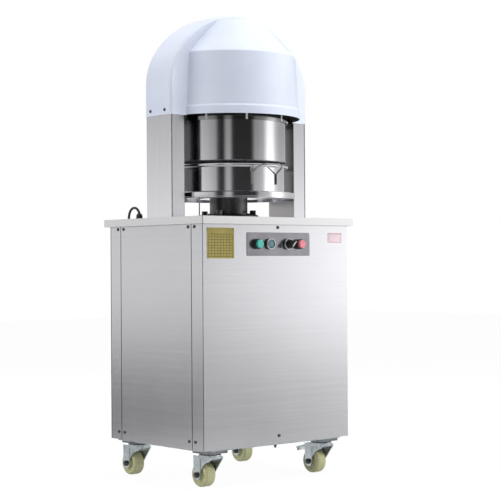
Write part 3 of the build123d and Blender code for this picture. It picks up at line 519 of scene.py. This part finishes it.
# nodes whose finish differs from their slot's
postSheet = {"along": "z", "rough": 0.21, "millWithin": 0.2275}
ownFinish = {
    # the two posts are one steel in a lit and a shaded copy: painted light on the left post, painted
    # shade on the right
    "left_post": brushedSteel("brushedSteelLeftLit", **postSheet, dark=(0.51, 0.51, 0.53),
                              pale=(0.58, 0.58, 0.605), mill=(0.26, 0.255, 0.255)),
    "right_post": brushedSteel("brushedSteelRightShaded", **postSheet, dark=(0.41, 0.41, 0.43),
                               pale=(0.48, 0.48, 0.50), mill=(0.34, 0.33, 0.33)),
    "post_covers": brushedSteel("brushedSteelCover", along="z", dark=(0.64, 0.64, 0.665),
                                pale=(0.72, 0.72, 0.745), rough=0.24),
    # the deck is the same brushed steel coloured lighter: painted light on the machine's top
    "deck": brushedSteel("brushedSteelDeckLit", dark=(0.71, 0.71, 0.72),
                         pale=(0.80, 0.80, 0.81), rough=0.40),
    # the handle wire is a darker copy of the mirror steel: painted shade, so the thin wire reads dark
    # against the pan
    "pan_handle": mirrorSteel("handleWireShaded", along="xy", dark=(0.30, 0.30, 0.31),
                              pale=(0.38, 0.38, 0.39), rough=0.10),
    # the guide ring is a darker copy of the mirror steel: painted shade for its place under the hood
    "guide_ring": mirrorSteel("polishedRingShaded", along="xy", dark=(0.34, 0.335, 0.335),
                              pale=(0.42, 0.415, 0.415), rough=0.08),
    "ram": toolMarked("ramSteel", blackedIron, dark=(0.110, 0.110, 0.113),
                      pale=(0.200, 0.200, 0.205), rough=0.31),
    "cover_screws": toolMarked("screwSteel", blackedIron, dark=(0.11, 0.11, 0.115),
                               pale=(0.20, 0.20, 0.205), rough=0.12),
    # the caster plates under the base take a darker copy of the zinc: painted shade
    "caster_plates": zincPlate("zincPlateShaded", dark=(0.13, 0.14, 0.15), pale=(0.30, 0.32, 0.33)),
    "plug": plugMoulding("plugMoulding", plugShell),
}


def dressNodes():
    for name, node in nodes.items():
        for slot in node.material_slots:
            slot.material = ownFinish.get(name) or finishes[slot.material.name.split(".")[0]]


dressNodes()
print("finishes on all nodes")


# mains cord: the part's own route, then the coil's turns, the inmost a little wider than the solid's
cordLine = {
    "diameter": 0.008,
    "length": 2.02,
    "route": [
        (-0.2040, 0.2040, 0.836), (-0.2038, 0.2078, 0.844), (-0.2033, 0.2225, 0.854),
        (-0.2026, 0.2402, 0.855), (-0.2019, 0.2559, 0.847), (-0.2013, 0.2650, 0.831),
        (-0.2010, 0.2672, 0.808), (-0.2012, 0.2675, 0.761), (-0.2025, 0.2635, 0.708),
        (-0.2070, 0.2550, 0.651), (-0.2150, 0.2470, 0.600), (-0.2255, 0.2432, 0.554),
        (-0.2310, 0.2422, 0.514), (-0.2310, 0.2422, 0.489),
    ],
    "middle": (-0.175, 0.476),
    "layers": (0.2422, 0.2508),
    # the radius where each half turn starts; the half numbered climb goes over to the second layer
    "radii": [0.0560, 0.0517, 0.0474, 0.0431, 0.0388, 0.0345, 0.0295,
              0.0295, 0.0345, 0.0388, 0.0431, 0.0474, 0.0780],
    "climb": 6,
    "pointsPerHalf": 8,
    "tail": 0.008,
    "smoothness": 6,
    "roundness": 4,
}


def coilPoints(spec):
    midX, midZ = spec["middle"]
    low, high = spec["layers"]
    swell = 1 / math.cos(math.pi / spec["pointsPerHalf"] / 2)  # the spline runs inside its points
    points = []
    for half in range(len(spec["radii"]) - 1):
        near, far = spec["radii"][half:half + 2]
        way = -1 if half % 2 == 0 else 1
        for step in range(spec["pointsPerHalf"]):
            turn = math.pi * (step + 0.5) / spec["pointsPerHalf"]
            radius = (near + far) / 2 * swell
            x = midX + way * (near - far) / 2 + way * radius * math.cos(turn)
            z = midZ + way * radius * math.sin(turn)
            if half < spec["climb"]:
                y = low
            elif half > spec["climb"]:
                y = high
            else:
                y = low + (high - low) * (1 - math.cos(turn)) / 2
            points.append((x, y, z))
    points.append((midX - spec["radii"][-1], high, midZ - spec["tail"]))
    return points


def makeCord(spec):
    points = spec["route"] + coilPoints(spec)
    data = bpy.data.curves.new("mainsCord", "CURVE")
    data.dimensions = "3D"
    line = data.splines.new("NURBS")
    line.points.add(len(points) - 1)
    for point, place in zip(line.points, points):
        point.co = (*place, 1)
    line.order_u = 3
    line.use_endpoint_u = True
    line.resolution_u = spec["smoothness"]
    data.bevel_depth = spec["diameter"] / 2
    data.bevel_resolution = spec["roundness"]
    data.use_fill_caps = True
    cord = bpy.data.objects.new("mainsCord", data)
    bpy.context.scene.collection.objects.link(cord)
    data.materials.append(finishes["black_rubber"])
    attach(cord, "stand")
    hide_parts("power_cord", "cord_coil")


makeCord(cordLine)
print("cord laid")


# modelling by hand: faces and edges are picked by their place, then worked on in edit mode
tiny = 1e-6
smoothBelow = math.radians(35)
facingFront = (math.pi / 2, 0, 0)
facingRight = (0, math.pi / 2, 0)
facingUp = (0, 0, 0)


def pick(piece, kind, wanted):
    bpy.ops.object.mode_set(mode="EDIT")
    bpy.ops.mesh.select_mode(type=kind)
    bpy.ops.mesh.select_all(action="DESELECT")
    bpy.ops.object.mode_set(mode="OBJECT")
    mesh = piece.data
    for part in mesh.polygons if kind == "FACE" else mesh.edges:
        part.select = wanted([mesh.vertices[i].co for i in part.vertices])
    bpy.ops.object.mode_set(mode="EDIT")


def at(axis, value):
    return lambda points: all(abs(point[axis] - value) < tiny for point in points)


def along(axis):
    others = [i for i in range(3) if i != axis]
    return lambda points: all(abs(points[0][i] - points[1][i]) < tiny for i in others)


def placed():
    bpy.ops.object.transform_apply()
    return bpy.context.object


def slab(*spans):
    bpy.ops.object.select_all(action="DESELECT")
    bpy.ops.mesh.primitive_cube_add(size=1, location=[(low + high) / 2 for low, high in spans],
                                    scale=[high - low for low, high in spans])
    return placed()


def disc(sides, radius, depth, middle, turn=facingFront):
    bpy.ops.object.select_all(action="DESELECT")
    bpy.ops.mesh.primitive_cylinder_add(vertices=sides, radius=radius, depth=depth,
                                        location=middle, rotation=turn)
    return placed()


def roundOff(piece, wanted, radius, segments):
    pick(piece, "EDGE", wanted)
    bpy.ops.mesh.bevel(offset=radius, segments=segments, affect="EDGES")
    bpy.ops.object.mode_set(mode="OBJECT")


def extruded(step):
    bpy.ops.mesh.extrude_region_move(TRANSFORM_OT_translate={"value": step})
    bpy.ops.object.mode_set(mode="OBJECT")


def joined(pieces):
    bpy.ops.object.select_all(action="DESELECT")
    for piece in pieces:
        piece.select_set(True)
    bpy.context.view_layer.objects.active = pieces[0]
    bpy.ops.object.join()
    return pieces[0]


def applied(piece, kind, **settings):
    modifier = piece.modifiers.new(kind.lower(), kind)
    for name, value in settings.items():
        setattr(modifier, name, value)
    bpy.context.view_layer.objects.active = piece
    bpy.ops.object.modifier_apply(modifier=modifier.name)


def linked(name, mesh):
    piece = bpy.data.objects.new(name, mesh)
    bpy.context.scene.collection.objects.link(piece)
    return piece


def copied(piece, place, turn):
    mesh = piece.data.copy()
    mesh.transform(Matrix.Translation(place) @ Matrix.Rotation(turn, 4, "Z"))
    return linked(piece.name, mesh)


def settle(piece, name, body, material):
    bpy.ops.object.select_all(action="DESELECT")
    piece.select_set(True)
    bpy.context.view_layer.objects.active = piece
    bpy.ops.object.shade_smooth_by_angle(angle=smoothBelow)
    piece.name = name
    piece.data.name = name
    piece.data.materials.clear()
    piece.data.materials.append(material)
    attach(piece, body)


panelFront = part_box("front_panel")[0].y


# data plate with an empty ruled table
dataPlate = {
    "x": (-0.2800, -0.1760),
    "z": (0.6880, 0.7795),
    "thick": 0.0008,
    "corner": 0.003,
    "cornerSteps": 5,
    "rim": 0.0020,
    "sunk": 0.0002,
    "rivet": 0.0016,
    "rivetIn": 0.0040,
    "rivetSides": 20,
    "rivetRound": 0.7,
    "rivetSteps": 4,
    "tableX": (-0.2750, -0.1810),
    "tableZ": (0.6930, 0.7610),
    "columns": 8,
    "rows": 8,
    "rule": 0.0015,
    "ink": (0.075, 0.062, 0.024),
    "inkShare": 0.9,
    "dark": (0.330, 0.275, 0.075),
    "pale": (0.410, 0.345, 0.100),
    "stain": (70.0, 4, 0.35, 0.7),
    "rough": 0.38,
    "stainRough": 0.12,
    "metal": 0.25,
    "relief": (0.25, 0.0001),
}


def etchedPlate(name, spec):
    f = Finish(name)
    x, z = f.axis("X"), f.axis("Z")
    left, right = spec["tableX"]
    low, high = spec["tableZ"]
    rule = spec["rule"]
    upright = f.ruled(x, left, (right - left - rule) / spec["columns"], rule)
    level = f.ruled(z, low, (high - low - rule) / spec["rows"], rule)
    lines = f.maths("MAXIMUM", upright, level) * f.inside(x, left, right) * f.inside(z, low, high)
    stain = f.patches(*spec["stain"])
    ground = f.between(stain, spec["dark"], spec["pale"])
    return f.done(colour=f.between(lines * spec["inkShare"], ground, spec["ink"]),
                  rough=spec["rough"] + spec["stainRough"] * stain,
                  metal=spec["metal"], normal=f.bump(1 - lines, *spec["relief"]))


def makeDataPlate(spec):
    front = panelFront - spec["thick"]
    plate = slab(spec["x"], (front, panelFront), spec["z"])
    roundOff(plate, along(1), spec["corner"], spec["cornerSteps"])
    pick(plate, "FACE", at(1, front))
    bpy.ops.mesh.inset(thickness=spec["rim"])
    bpy.ops.mesh.inset(thickness=spec["sunk"], depth=-spec["sunk"])
    bpy.ops.object.mode_set(mode="OBJECT")
    head, inset = spec["rivet"], spec["rivetIn"]
    rivets = []
    for x in (spec["x"][0] + inset, spec["x"][1] - inset):
        for z in (spec["z"][0] + inset, spec["z"][1] - inset):
            rivet = disc(spec["rivetSides"], head, 2 * head, (x, front, z))
            roundOff(rivet, at(1, front - head), head * spec["rivetRound"], spec["rivetSteps"])
            rivets.append(rivet)
    finish = etchedPlate("etchedPlate", spec)
    settle(joined([plate] + rivets), "dataPlate", "stand", finish)


# plain pink label beside the control plate
panelLabel = {
    "x": (0.2110, 0.2710),
    "z": (0.7370, 0.7670),
    "thick": 0.0003,
    "corner": 0.002,
    "cornerSteps": 5,
    "frontSteps": 2,
    "edge": 0.0025,
    "edgeTone": (0.70, 0.40, 0.46),
    "dark": (0.82, 0.66, 0.70),
    "pale": (0.88, 0.72, 0.76),
    "clouds": (60.0, 3, 0.35, 0.7),
    "rough": 0.42,
    "cloudRough": 0.10,
    "grit": (1500.0, 2),
    "relief": (0.05, 0.0002),
}


def printedLabel(name, spec):
    f = Finish(name)
    edge = spec["edge"]
    field = f.inside(f.axis("X"), spec["x"][0] + edge, spec["x"][1] - edge)
    field = field * f.inside(f.axis("Z"), spec["z"][0] + edge, spec["z"][1] - edge)
    clouds = f.patches(*spec["clouds"])
    paper = f.between(clouds, spec["dark"], spec["pale"])
    return f.done(colour=f.between(field, spec["edgeTone"], paper),
                  rough=spec["rough"] + spec["cloudRough"] * clouds,
                  normal=f.bump(f.noise(*spec["grit"]), *spec["relief"]))


def makePanelLabel(spec):
    front = panelFront - spec["thick"]
    label = slab(spec["x"], (front, panelFront), spec["z"])
    roundOff(label, along(1), spec["corner"], spec["cornerSteps"])
    roundOff(label, at(1, front), spec["thick"] / 2, spec["frontSteps"])
    settle(label, "panelLabel", "stand", printedLabel("printedLabel", spec))


makeDataPlate(dataPlate)
makePanelLabel(panelLabel)
print("plates on the front panel")


# chrome rings of the lamp and the selector; front and back are measured out from the control plate
chromeRings = {
    "lampRing": {"middle": (-0.0370, 0.7315), "front": 0.0116, "back": 0.0050,
                 "outer": 0.0162, "inner": 0.0142},
    "selectorRing": {"middle": (0.0375, 0.7315), "front": 0.0106, "back": 0.0040,
                     "outer": 0.0168, "inner": 0.0150},
}
ringShape = {
    "sides": 64,
    "backWall": 0.0008,
    "edge": 0.0008,
    "edgeSteps": 3,
    "slack": 0.0005,
}
chromeSteel = mirrorSteel("chromeSteel", dark=(0.84, 0.84, 0.85), pale=(0.90, 0.90, 0.91), rough=0.07)
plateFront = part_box("control_plate")[0].y


def makeRing(name, spec, shape):
    midX, midZ = spec["middle"]
    front, back = plateFront - spec["front"], plateFront - spec["back"]
    ring = disc(shape["sides"], spec["outer"], back - front, (midX, (front + back) / 2, midZ))
    for place, wall in ((front, spec["outer"] - spec["inner"]), (back, shape["backWall"])):
        pick(ring, "FACE", at(1, place))
        bpy.ops.mesh.inset(thickness=wall)
        bpy.ops.mesh.delete(type="FACE")
        bpy.ops.object.mode_set(mode="OBJECT")
    # the two open rims are bridged by the bore
    bpy.ops.object.mode_set(mode="EDIT")
    bpy.ops.mesh.select_mode(type="EDGE")
    bpy.ops.mesh.select_all(action="DESELECT")
    bpy.ops.mesh.select_non_manifold()
    bpy.ops.mesh.bridge_edge_loops()
    bpy.ops.mesh.select_all(action="SELECT")
    bpy.ops.mesh.normals_make_consistent(inside=False)
    bpy.ops.object.mode_set(mode="OBJECT")

    def onRim(points):
        reach = [math.hypot(point.x - midX, point.z - midZ) for point in points]
        return at(1, front)(points) and max(reach) - min(reach) <= shape["slack"]

    roundOff(ring, onRim, shape["edge"], shape["edgeSteps"])
    settle(ring, name, "stand", chromeSteel)


for name, spec in chromeRings.items():
    makeRing(name, spec, ringShape)


# white line along the front of the selector's lever
selectorMark = {
    "middle": (0.0375, 0.7315),
    "turn": 45,
    "width": 0.0022,
    "length": 0.0215,
    "proud": 0.0004,
    "endRound": 0.45,
    "endSteps": 4,
    "frontSteps": 2,
    "dark": (0.80, 0.80, 0.79),
    "pale": (0.87, 0.87, 0.86),
    "rough": 0.35,
}


def makeSelectorMark(spec):
    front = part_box("selector_knob")[0].y
    bpy.ops.object.select_all(action="DESELECT")
    bpy.ops.mesh.primitive_cube_add(size=1, location=(spec["middle"][0], front, spec["middle"][1]),
                                    rotation=(0, math.radians(spec["turn"]), 0),
                                    scale=(spec["width"], 2 * spec["proud"], spec["length"]))
    mark = placed()
    roundOff(mark, along(1), spec["width"] * spec["endRound"], spec["endSteps"])
    roundOff(mark, at(1, front - spec["proud"]), spec["proud"] / 2, spec["frontSteps"])
    paint = mouldedPlastic("leverLineWhite", spec["dark"], spec["pale"], spec["rough"])
    settle(mark, "selectorMark", "selector", paint)


makeSelectorMark(selectorMark)
print("control devices trimmed")


# woven strap that ties the cord's coil, with a loose tail at the back
coilTie = {
    "reach": (0.0243, 0.0570),
    "y": (0.2371, 0.2558),
    "width": 0.0120,
    "thick": 0.0008,
    "corner": 0.004,
    "cornerSteps": 5,
    "tailX": (-0.1490, -0.1270),
    "tailSteps": 4,
    "edgeRound": 0.4,
    "edgeSteps": 2,
    "weft": (900, 900, 2600),
    "warp": (2600, 900, 900),
    "threads": {"detail": 1, "roughness": 0.4},
    "contrast": (0.45, 0.75),
    "dark": (0.012, 0.012, 0.014),
    "pale": (0.050, 0.050, 0.054),
    "rough": 0.70,
    "weaveRough": 0.15,
    "relief": (0.35, 0.0003),
}


def wovenStrap(name, spec):
    f = Finish(name)
    weft, warp = (f.noise(1.0, vector=f.stretched(spec[way]), **spec["threads"])
                  for way in ("weft", "warp"))
    weave = f.maths("MAXIMUM", weft, warp)
    return f.done(colour=f.between(f.spread(weave, *spec["contrast"]), spec["dark"], spec["pale"]),
                  rough=spec["rough"] + spec["weaveRough"] * weave,
                  normal=f.bump(weave, *spec["relief"]))


def makeCoilTie(spec):
    midX, midZ = cordLine["middle"]
    spanX = [midX + reach for reach in spec["reach"]]
    spanZ = (midZ - spec["width"] / 2, midZ + spec["width"] / 2)
    strap = slab(spanX, spec["y"], spanZ)
    pick(strap, "FACE", lambda points: at(2, spanZ[0])(points) or at(2, spanZ[1])(points))
    bpy.ops.mesh.delete(type="FACE")
    bpy.ops.object.mode_set(mode="OBJECT")
    roundOff(strap, along(2), spec["corner"], spec["cornerSteps"])
    applied(strap, "SOLIDIFY", thickness=spec["thick"], offset=-1)
    back = spec["y"][1]
    outside = back + spec["thick"]
    tail = slab(spec["tailX"], (back, outside), spanZ)
    roundOff(tail, along(1), spec["corner"], spec["tailSteps"])
    roundOff(tail, at(1, outside), spec["thick"] * spec["edgeRound"], spec["edgeSteps"])
    finish = wovenStrap("wovenStrap", spec)
    settle(joined([strap, tail]), "coilTie", "stand", finish)


makeCoilTie(coilTie)
print("coil tied")


# crossed slots in the cover screws: one cross facing right, turned and copied to each head
screwCross = {
    "arm": 0.0026,
    "width": 0.0010,
    "proud": 0.00015,
    "sunk": 0.0006,
    "edgeSteps": 2,
    "headHeight": 0.0026,
    "low": 0.142625,
    "high": 0.7825,
    "seamY": (0.165, 0.195),
    "hoodX": 0.2815,
    "hoodY": 0.036,
    "hoodZ": 1.145,
}


def crossPlaces(spec):
    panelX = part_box("right_panel")[1].x + spec["headHeight"]
    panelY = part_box("rear_panel")[1].y + spec["headHeight"]
    hoodX = spec["hoodX"] + spec["headHeight"]
    places = []
    for side, turn in ((-1, 180), (1, 0)):
        for z in (spec["low"], spec["high"]):
            for end in (-1, 1):
                places += [((side * panelX, end * y, z), turn) for y in spec["seamY"]]
            places.append(((0, side * panelY, z), 90 * side))
        places += [((side * hoodX, end * spec["hoodY"], spec["hoodZ"]), turn) for end in (-1, 1)]
    return places


def makeCrosses(spec):
    half = spec["width"] / 2
    cross = slab((-spec["sunk"], spec["proud"]), (-half, half), (-half, half))
    for axis in (1, 2):
        for way in (-1, 1):
            pick(cross, "FACE", at(axis, way * half))
            step = [0, 0, 0]
            step[axis] = way * (spec["arm"] - half)
            extruded(step)
    roundOff(cross, at(0, spec["proud"]), spec["proud"] / 2, spec["edgeSteps"])
    for number, (place, turn) in enumerate(crossPlaces(spec)):
        copy = copied(cross, place, math.radians(turn))
        settle(copy, f"screwCross{number}", "stand", finishes["black_iron"])
    bpy.data.objects.remove(cross)


makeCrosses(screwCross)


# dark nuts on the caster axles, one facing right, turned and copied to both ends of each axle
darkZinc = toolMarked("darkZinc", blackedIron, dark=(0.060, 0.063, 0.067), pale=(0.150, 0.155, 0.160))
axleNut = {
    "radius": 0.0093,
    "height": 0.0066,
    "edge": 0.0010,
    "bolt": 0.0050,
    "boltRise": 0.0022,
    "boltEdge": 0.0008,
    "start": 0.0271,
    "casters": {"front_left": (-0.228, -0.181), "front_right": (0.228, -0.181),
                "rear_left": (-0.228, 0.181), "rear_right": (0.228, 0.181)},
    "trail": 0.031,
    "axleZ": 0.0375,
}
hexagon = {
    "sides": 6,
    "topShare": 0.75,
    "edgeSteps": 2,
}


def boltedNut(spec, nut, axis, top, way):
    # round the nut's top, then draw the bolt's end out of its middle
    roundOff(nut, at(axis, top), spec["edge"], hexagon["edgeSteps"])
    pick(nut, "FACE", at(axis, top))
    bpy.ops.mesh.inset(thickness=spec["radius"] * hexagon["topShare"] - spec["bolt"])
    step = [0, 0, 0]
    step[axis] = way * spec["boltRise"]
    extruded(step)
    roundOff(nut, at(axis, top + step[axis]), spec["boltEdge"], hexagon["edgeSteps"])


def makeNuts(spec):
    middle = (spec["start"] + spec["height"] / 2, 0, 0)
    nut = disc(hexagon["sides"], spec["radius"], spec["height"], middle, facingRight)
    boltedNut(spec, nut, 0, spec["start"] + spec["height"], 1)
    for corner, (x, y) in spec["casters"].items():
        for end, turn in (("Right", 0), ("Left", math.pi)):
            copy = copied(nut, (x, y + spec["trail"], spec["axleZ"]), turn)
            settle(copy, f"axleNut{end}_{corner}", "caster_" + corner, darkZinc)
    bpy.data.objects.remove(nut)


makeNuts(axleNut)


# earth stud with its nut under the front edge of the base plate
earthStud = {
    "place": (0.0, -0.2185),
    "radius": 0.0048,
    "height": 0.0060,
    "edge": 0.0005,
    "bolt": 0.0028,
    "boltRise": 0.0048,
    "boltEdge": 0.0005,
}


def makeStud(spec):
    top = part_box("base_plate")[0].z
    low = top - spec["height"]
    middle = (*spec["place"], (top + low) / 2)
    stud = disc(hexagon["sides"], spec["radius"], spec["height"], middle, facingUp)
    boltedNut(spec, stud, 2, low, -1)
    settle(stud, "earthStud", "stand", darkZinc)


makeStud(earthStud)
print("screws and nuts on")


# springs in the head: the wound solids again, merged into one mesh of their own
headSprings = {
    "node": "press_springs",
    "joint": "press_slide",
    "travel": 0.085,
    "merge": 0.000001,
}


def makeSprings(spec):
    bpy.ops.object.select_all(action="DESELECT")
    springs = linked("headSprings", nodes[spec["node"]].data.copy())
    springs.select_set(True)
    bpy.context.view_layer.objects.active = springs
    bpy.ops.object.mode_set(mode="EDIT")
    bpy.ops.mesh.select_all(action="SELECT")
    bpy.ops.mesh.remove_doubles(threshold=spec["merge"])
    bpy.ops.object.mode_set(mode="OBJECT")
    settle(springs, "headSprings", "stand", finishes["machined_steel"])
    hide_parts(spec["node"])
    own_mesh(springs)


makeSprings(headSprings)
print("springs in the head")


# studio: floor, walls and ground that only gloss sees, soft lamps and a white world
studio = {
    "floorSize": 24.0,
    "floorTone": 0.80,
    "floorMottle": 0.02,
    "floorClouds": (0.6, 2),
    "floorWhite": 0.93,
    "floorGlow": 1.03,
    "groundRadius": 6.4,
    "groundSides": 120,
    "groundHeight": 0.003,
    "ringRadius": 6.5,
    "ringSides": 180,
    "ringTop": 6.0,
    "ringLow": -1.2,
    "ringLevel": 3.1,
    "worldLevel": 0.38,
    # azimuth from the front towards the right, and how bright the wall is there
    "walls": [
        (-180, 0.40), (-165, 0.42), (-152, 0.45), (-128, 0.45), (-112, 0.44), (-90, 0.39),
        (-76, 0.32), (-65, 0.25), (-59, 0.05), (-55, 0.02), (-49, 0.02), (-44, 0.22),
        (-40, 0.27), (-36, 0.24), (-31, 0.04), (-27, 0.02), (5, 0.02), (9, 0.06),
        (14, 0.23), (27, 0.29), (34, 0.36), (40, 0.66), (46, 0.98), (54, 1.0),
        (60, 0.90), (66, 0.60), (73, 0.43), (82, 0.35), (112, 0.30), (180, 0.40),
    ],
    # height above the floor, and how bright the walls are there
    "heights": [
        (-1.2, 0.45), (0.0, 0.75), (0.6, 0.86), (1.0, 0.80), (1.6, 0.46),
        (2.2, 0.34), (3.0, 0.36), (4.0, 0.70), (6.0, 0.80),
    ],
    # the bright patch that the machine stands on: where it starts to fade, where it ends, its level
    "patch": (0.75, 1.45, 0.90),
    # the ground's light by azimuth, beyond that patch
    "ground": [
        (-180, 0.70), (-160, 0.30), (-150, 0.25), (-128, 0.25), (-115, 0.60), (0, 0.60),
        (26, 0.44), (34, 0.46), (40, 0.66), (50, 0.90), (70, 0.70), (180, 0.70),
    ],
}
glossOnly = {
    "visible_camera": False,
    "visible_diffuse": False,
    "visible_shadow": False,
    "visible_transmission": False,
}


def onStage(name, material, **seen):
    piece = bpy.context.object
    piece.name = name
    piece.data.materials.append(material)
    for kind, state in seen.items():
        setattr(piece, kind, state)


def seenDirectly(f):
    # 1 for camera, glossy and transmission rays, 0 for those that only bring light
    seen = f.node("LightPath", out="Is Camera Ray") + f.node("LightPath", out="Is Glossy Ray")
    return f.maths("ADD", seen, f.node("LightPath", out="Is Transmission Ray"), True)


def floorFinish(spec):
    f = Finish("floorPaper")
    dark, pale = (spec["floorTone"] - spec["floorMottle"],) * 3, (spec["floorTone"],) * 3
    tone = f.between(f.noise(*spec["floorClouds"]), dark, pale)
    paper = f.node("BsdfDiffuse", None, {"Color": tone})
    white = f.node("Emission", None, {"Strength": spec["floorGlow"]})
    share = seenDirectly(f) * spec["floorWhite"]
    surface = f.node("MixShader", None, {0: share, 1: paper, 2: white})
    f.node("OutputMaterial", None, {"Surface": surface})
    return f.material


def byAzimuth(f, levels):
    azimuth = f.maths("ARCTAN2", f.axis("X"), 0.0 - f.axis("Y")) / (2 * math.pi) + 0.5
    stops = [((degrees + 180) / 360, level) for degrees, level in levels]
    return f.node("ValToRGB", {"stops": stops}, {0: azimuth})


def glowing(f, strength):
    f.node("OutputMaterial", None, {"Surface": f.node("Emission", None, {"Strength": strength})})
    return f.material


def wallFinish(spec):
    f = Finish("studioWalls")
    low, top = spec["ringLow"], spec["ringTop"]
    stops = [((height - low) / (top - low), level) for height, level in spec["heights"]]
    fade = f.node("ValToRGB", {"stops": stops}, {0: f.spread(f.axis("Z"), low, top)})
    return glowing(f, byAzimuth(f, spec["walls"]) * fade * spec["ringLevel"])


def groundFinish(spec):
    f = Finish("studioGround")
    near, far, level = spec["patch"]
    out = f.spread(f.radius(), near, far)
    return glowing(f, byAzimuth(f, spec["ground"]) * out + level * (1 - out))


def makeStage(spec):
    bpy.ops.mesh.primitive_plane_add(size=spec["floorSize"])
    onStage("floor", floorFinish(spec))
    bpy.ops.mesh.primitive_circle_add(vertices=spec["groundSides"], radius=spec["groundRadius"],
                                      fill_type="NGON", location=(0, 0, spec["groundHeight"]))
    bpy.ops.object.transform_apply()
    onStage("studioGround", groundFinish(spec), **glossOnly)
    low, top = spec["ringLow"], spec["ringTop"]
    bpy.ops.mesh.primitive_cylinder_add(vertices=spec["ringSides"], radius=spec["ringRadius"],
                                        depth=top - low, end_fill_type="NOTHING",
                                        location=(0, 0, (top + low) / 2))
    bpy.ops.object.transform_apply()
    onStage("studioWall", wallFinish(spec), **glossOnly)


lamps = {
    "topLamp": {"place": (0.5, -1.2, 4.1), "aim": (0, 0, 1.1), "size": (2.4, 2.4), "power": 98},
    "rightLamp": {"place": (3.6, -3.2, 1.1), "aim": (0, 0, 0.9), "size": (0.7, 2.0), "power": 88},
    "leftLamp": {"place": (-4.0, 1.6, 2.0), "aim": (0, 0, 1.0), "size": (2.0, 2.4), "power": 66},
    "rearLamp": {"place": (1.4, 3.8, 2.0), "aim": (0, 0, 1.1), "size": (2.0, 2.0), "power": 60},
}


def makeLamp(name, spec):
    bpy.ops.object.light_add(type="AREA", location=spec["place"])
    lamp = bpy.context.object
    lamp.name = name
    lamp.data.shape = "RECTANGLE"
    lamp.data.size, lamp.data.size_y = spec["size"]
    lamp.data.energy = spec["power"]
    lamp.visible_glossy = False  # the walls stand for the lamps in gloss
    aim = Vector(spec["aim"]) - Vector(spec["place"])
    lamp.rotation_euler = aim.to_track_quat("-Z", "Y").to_euler()


def makeWorld(level):
    world = bpy.data.worlds.new("studioWorld")
    bpy.context.scene.world = world
    world.use_nodes = True
    world.node_tree.nodes.clear()
    f = Sock(world.node_tree)
    strength = level + (1 - level) * seenDirectly(f)
    back = f.node("Background", None, {"Color": (1, 1, 1, 1), "Strength": strength})
    f.node("OutputWorld", None, {"Surface": back})


makeStage(studio)
for name, spec in lamps.items():
    makeLamp(name, spec)
makeWorld(studio["worldLevel"])
bpy.context.scene.view_settings.view_transform = "Standard"
print("studio lit")
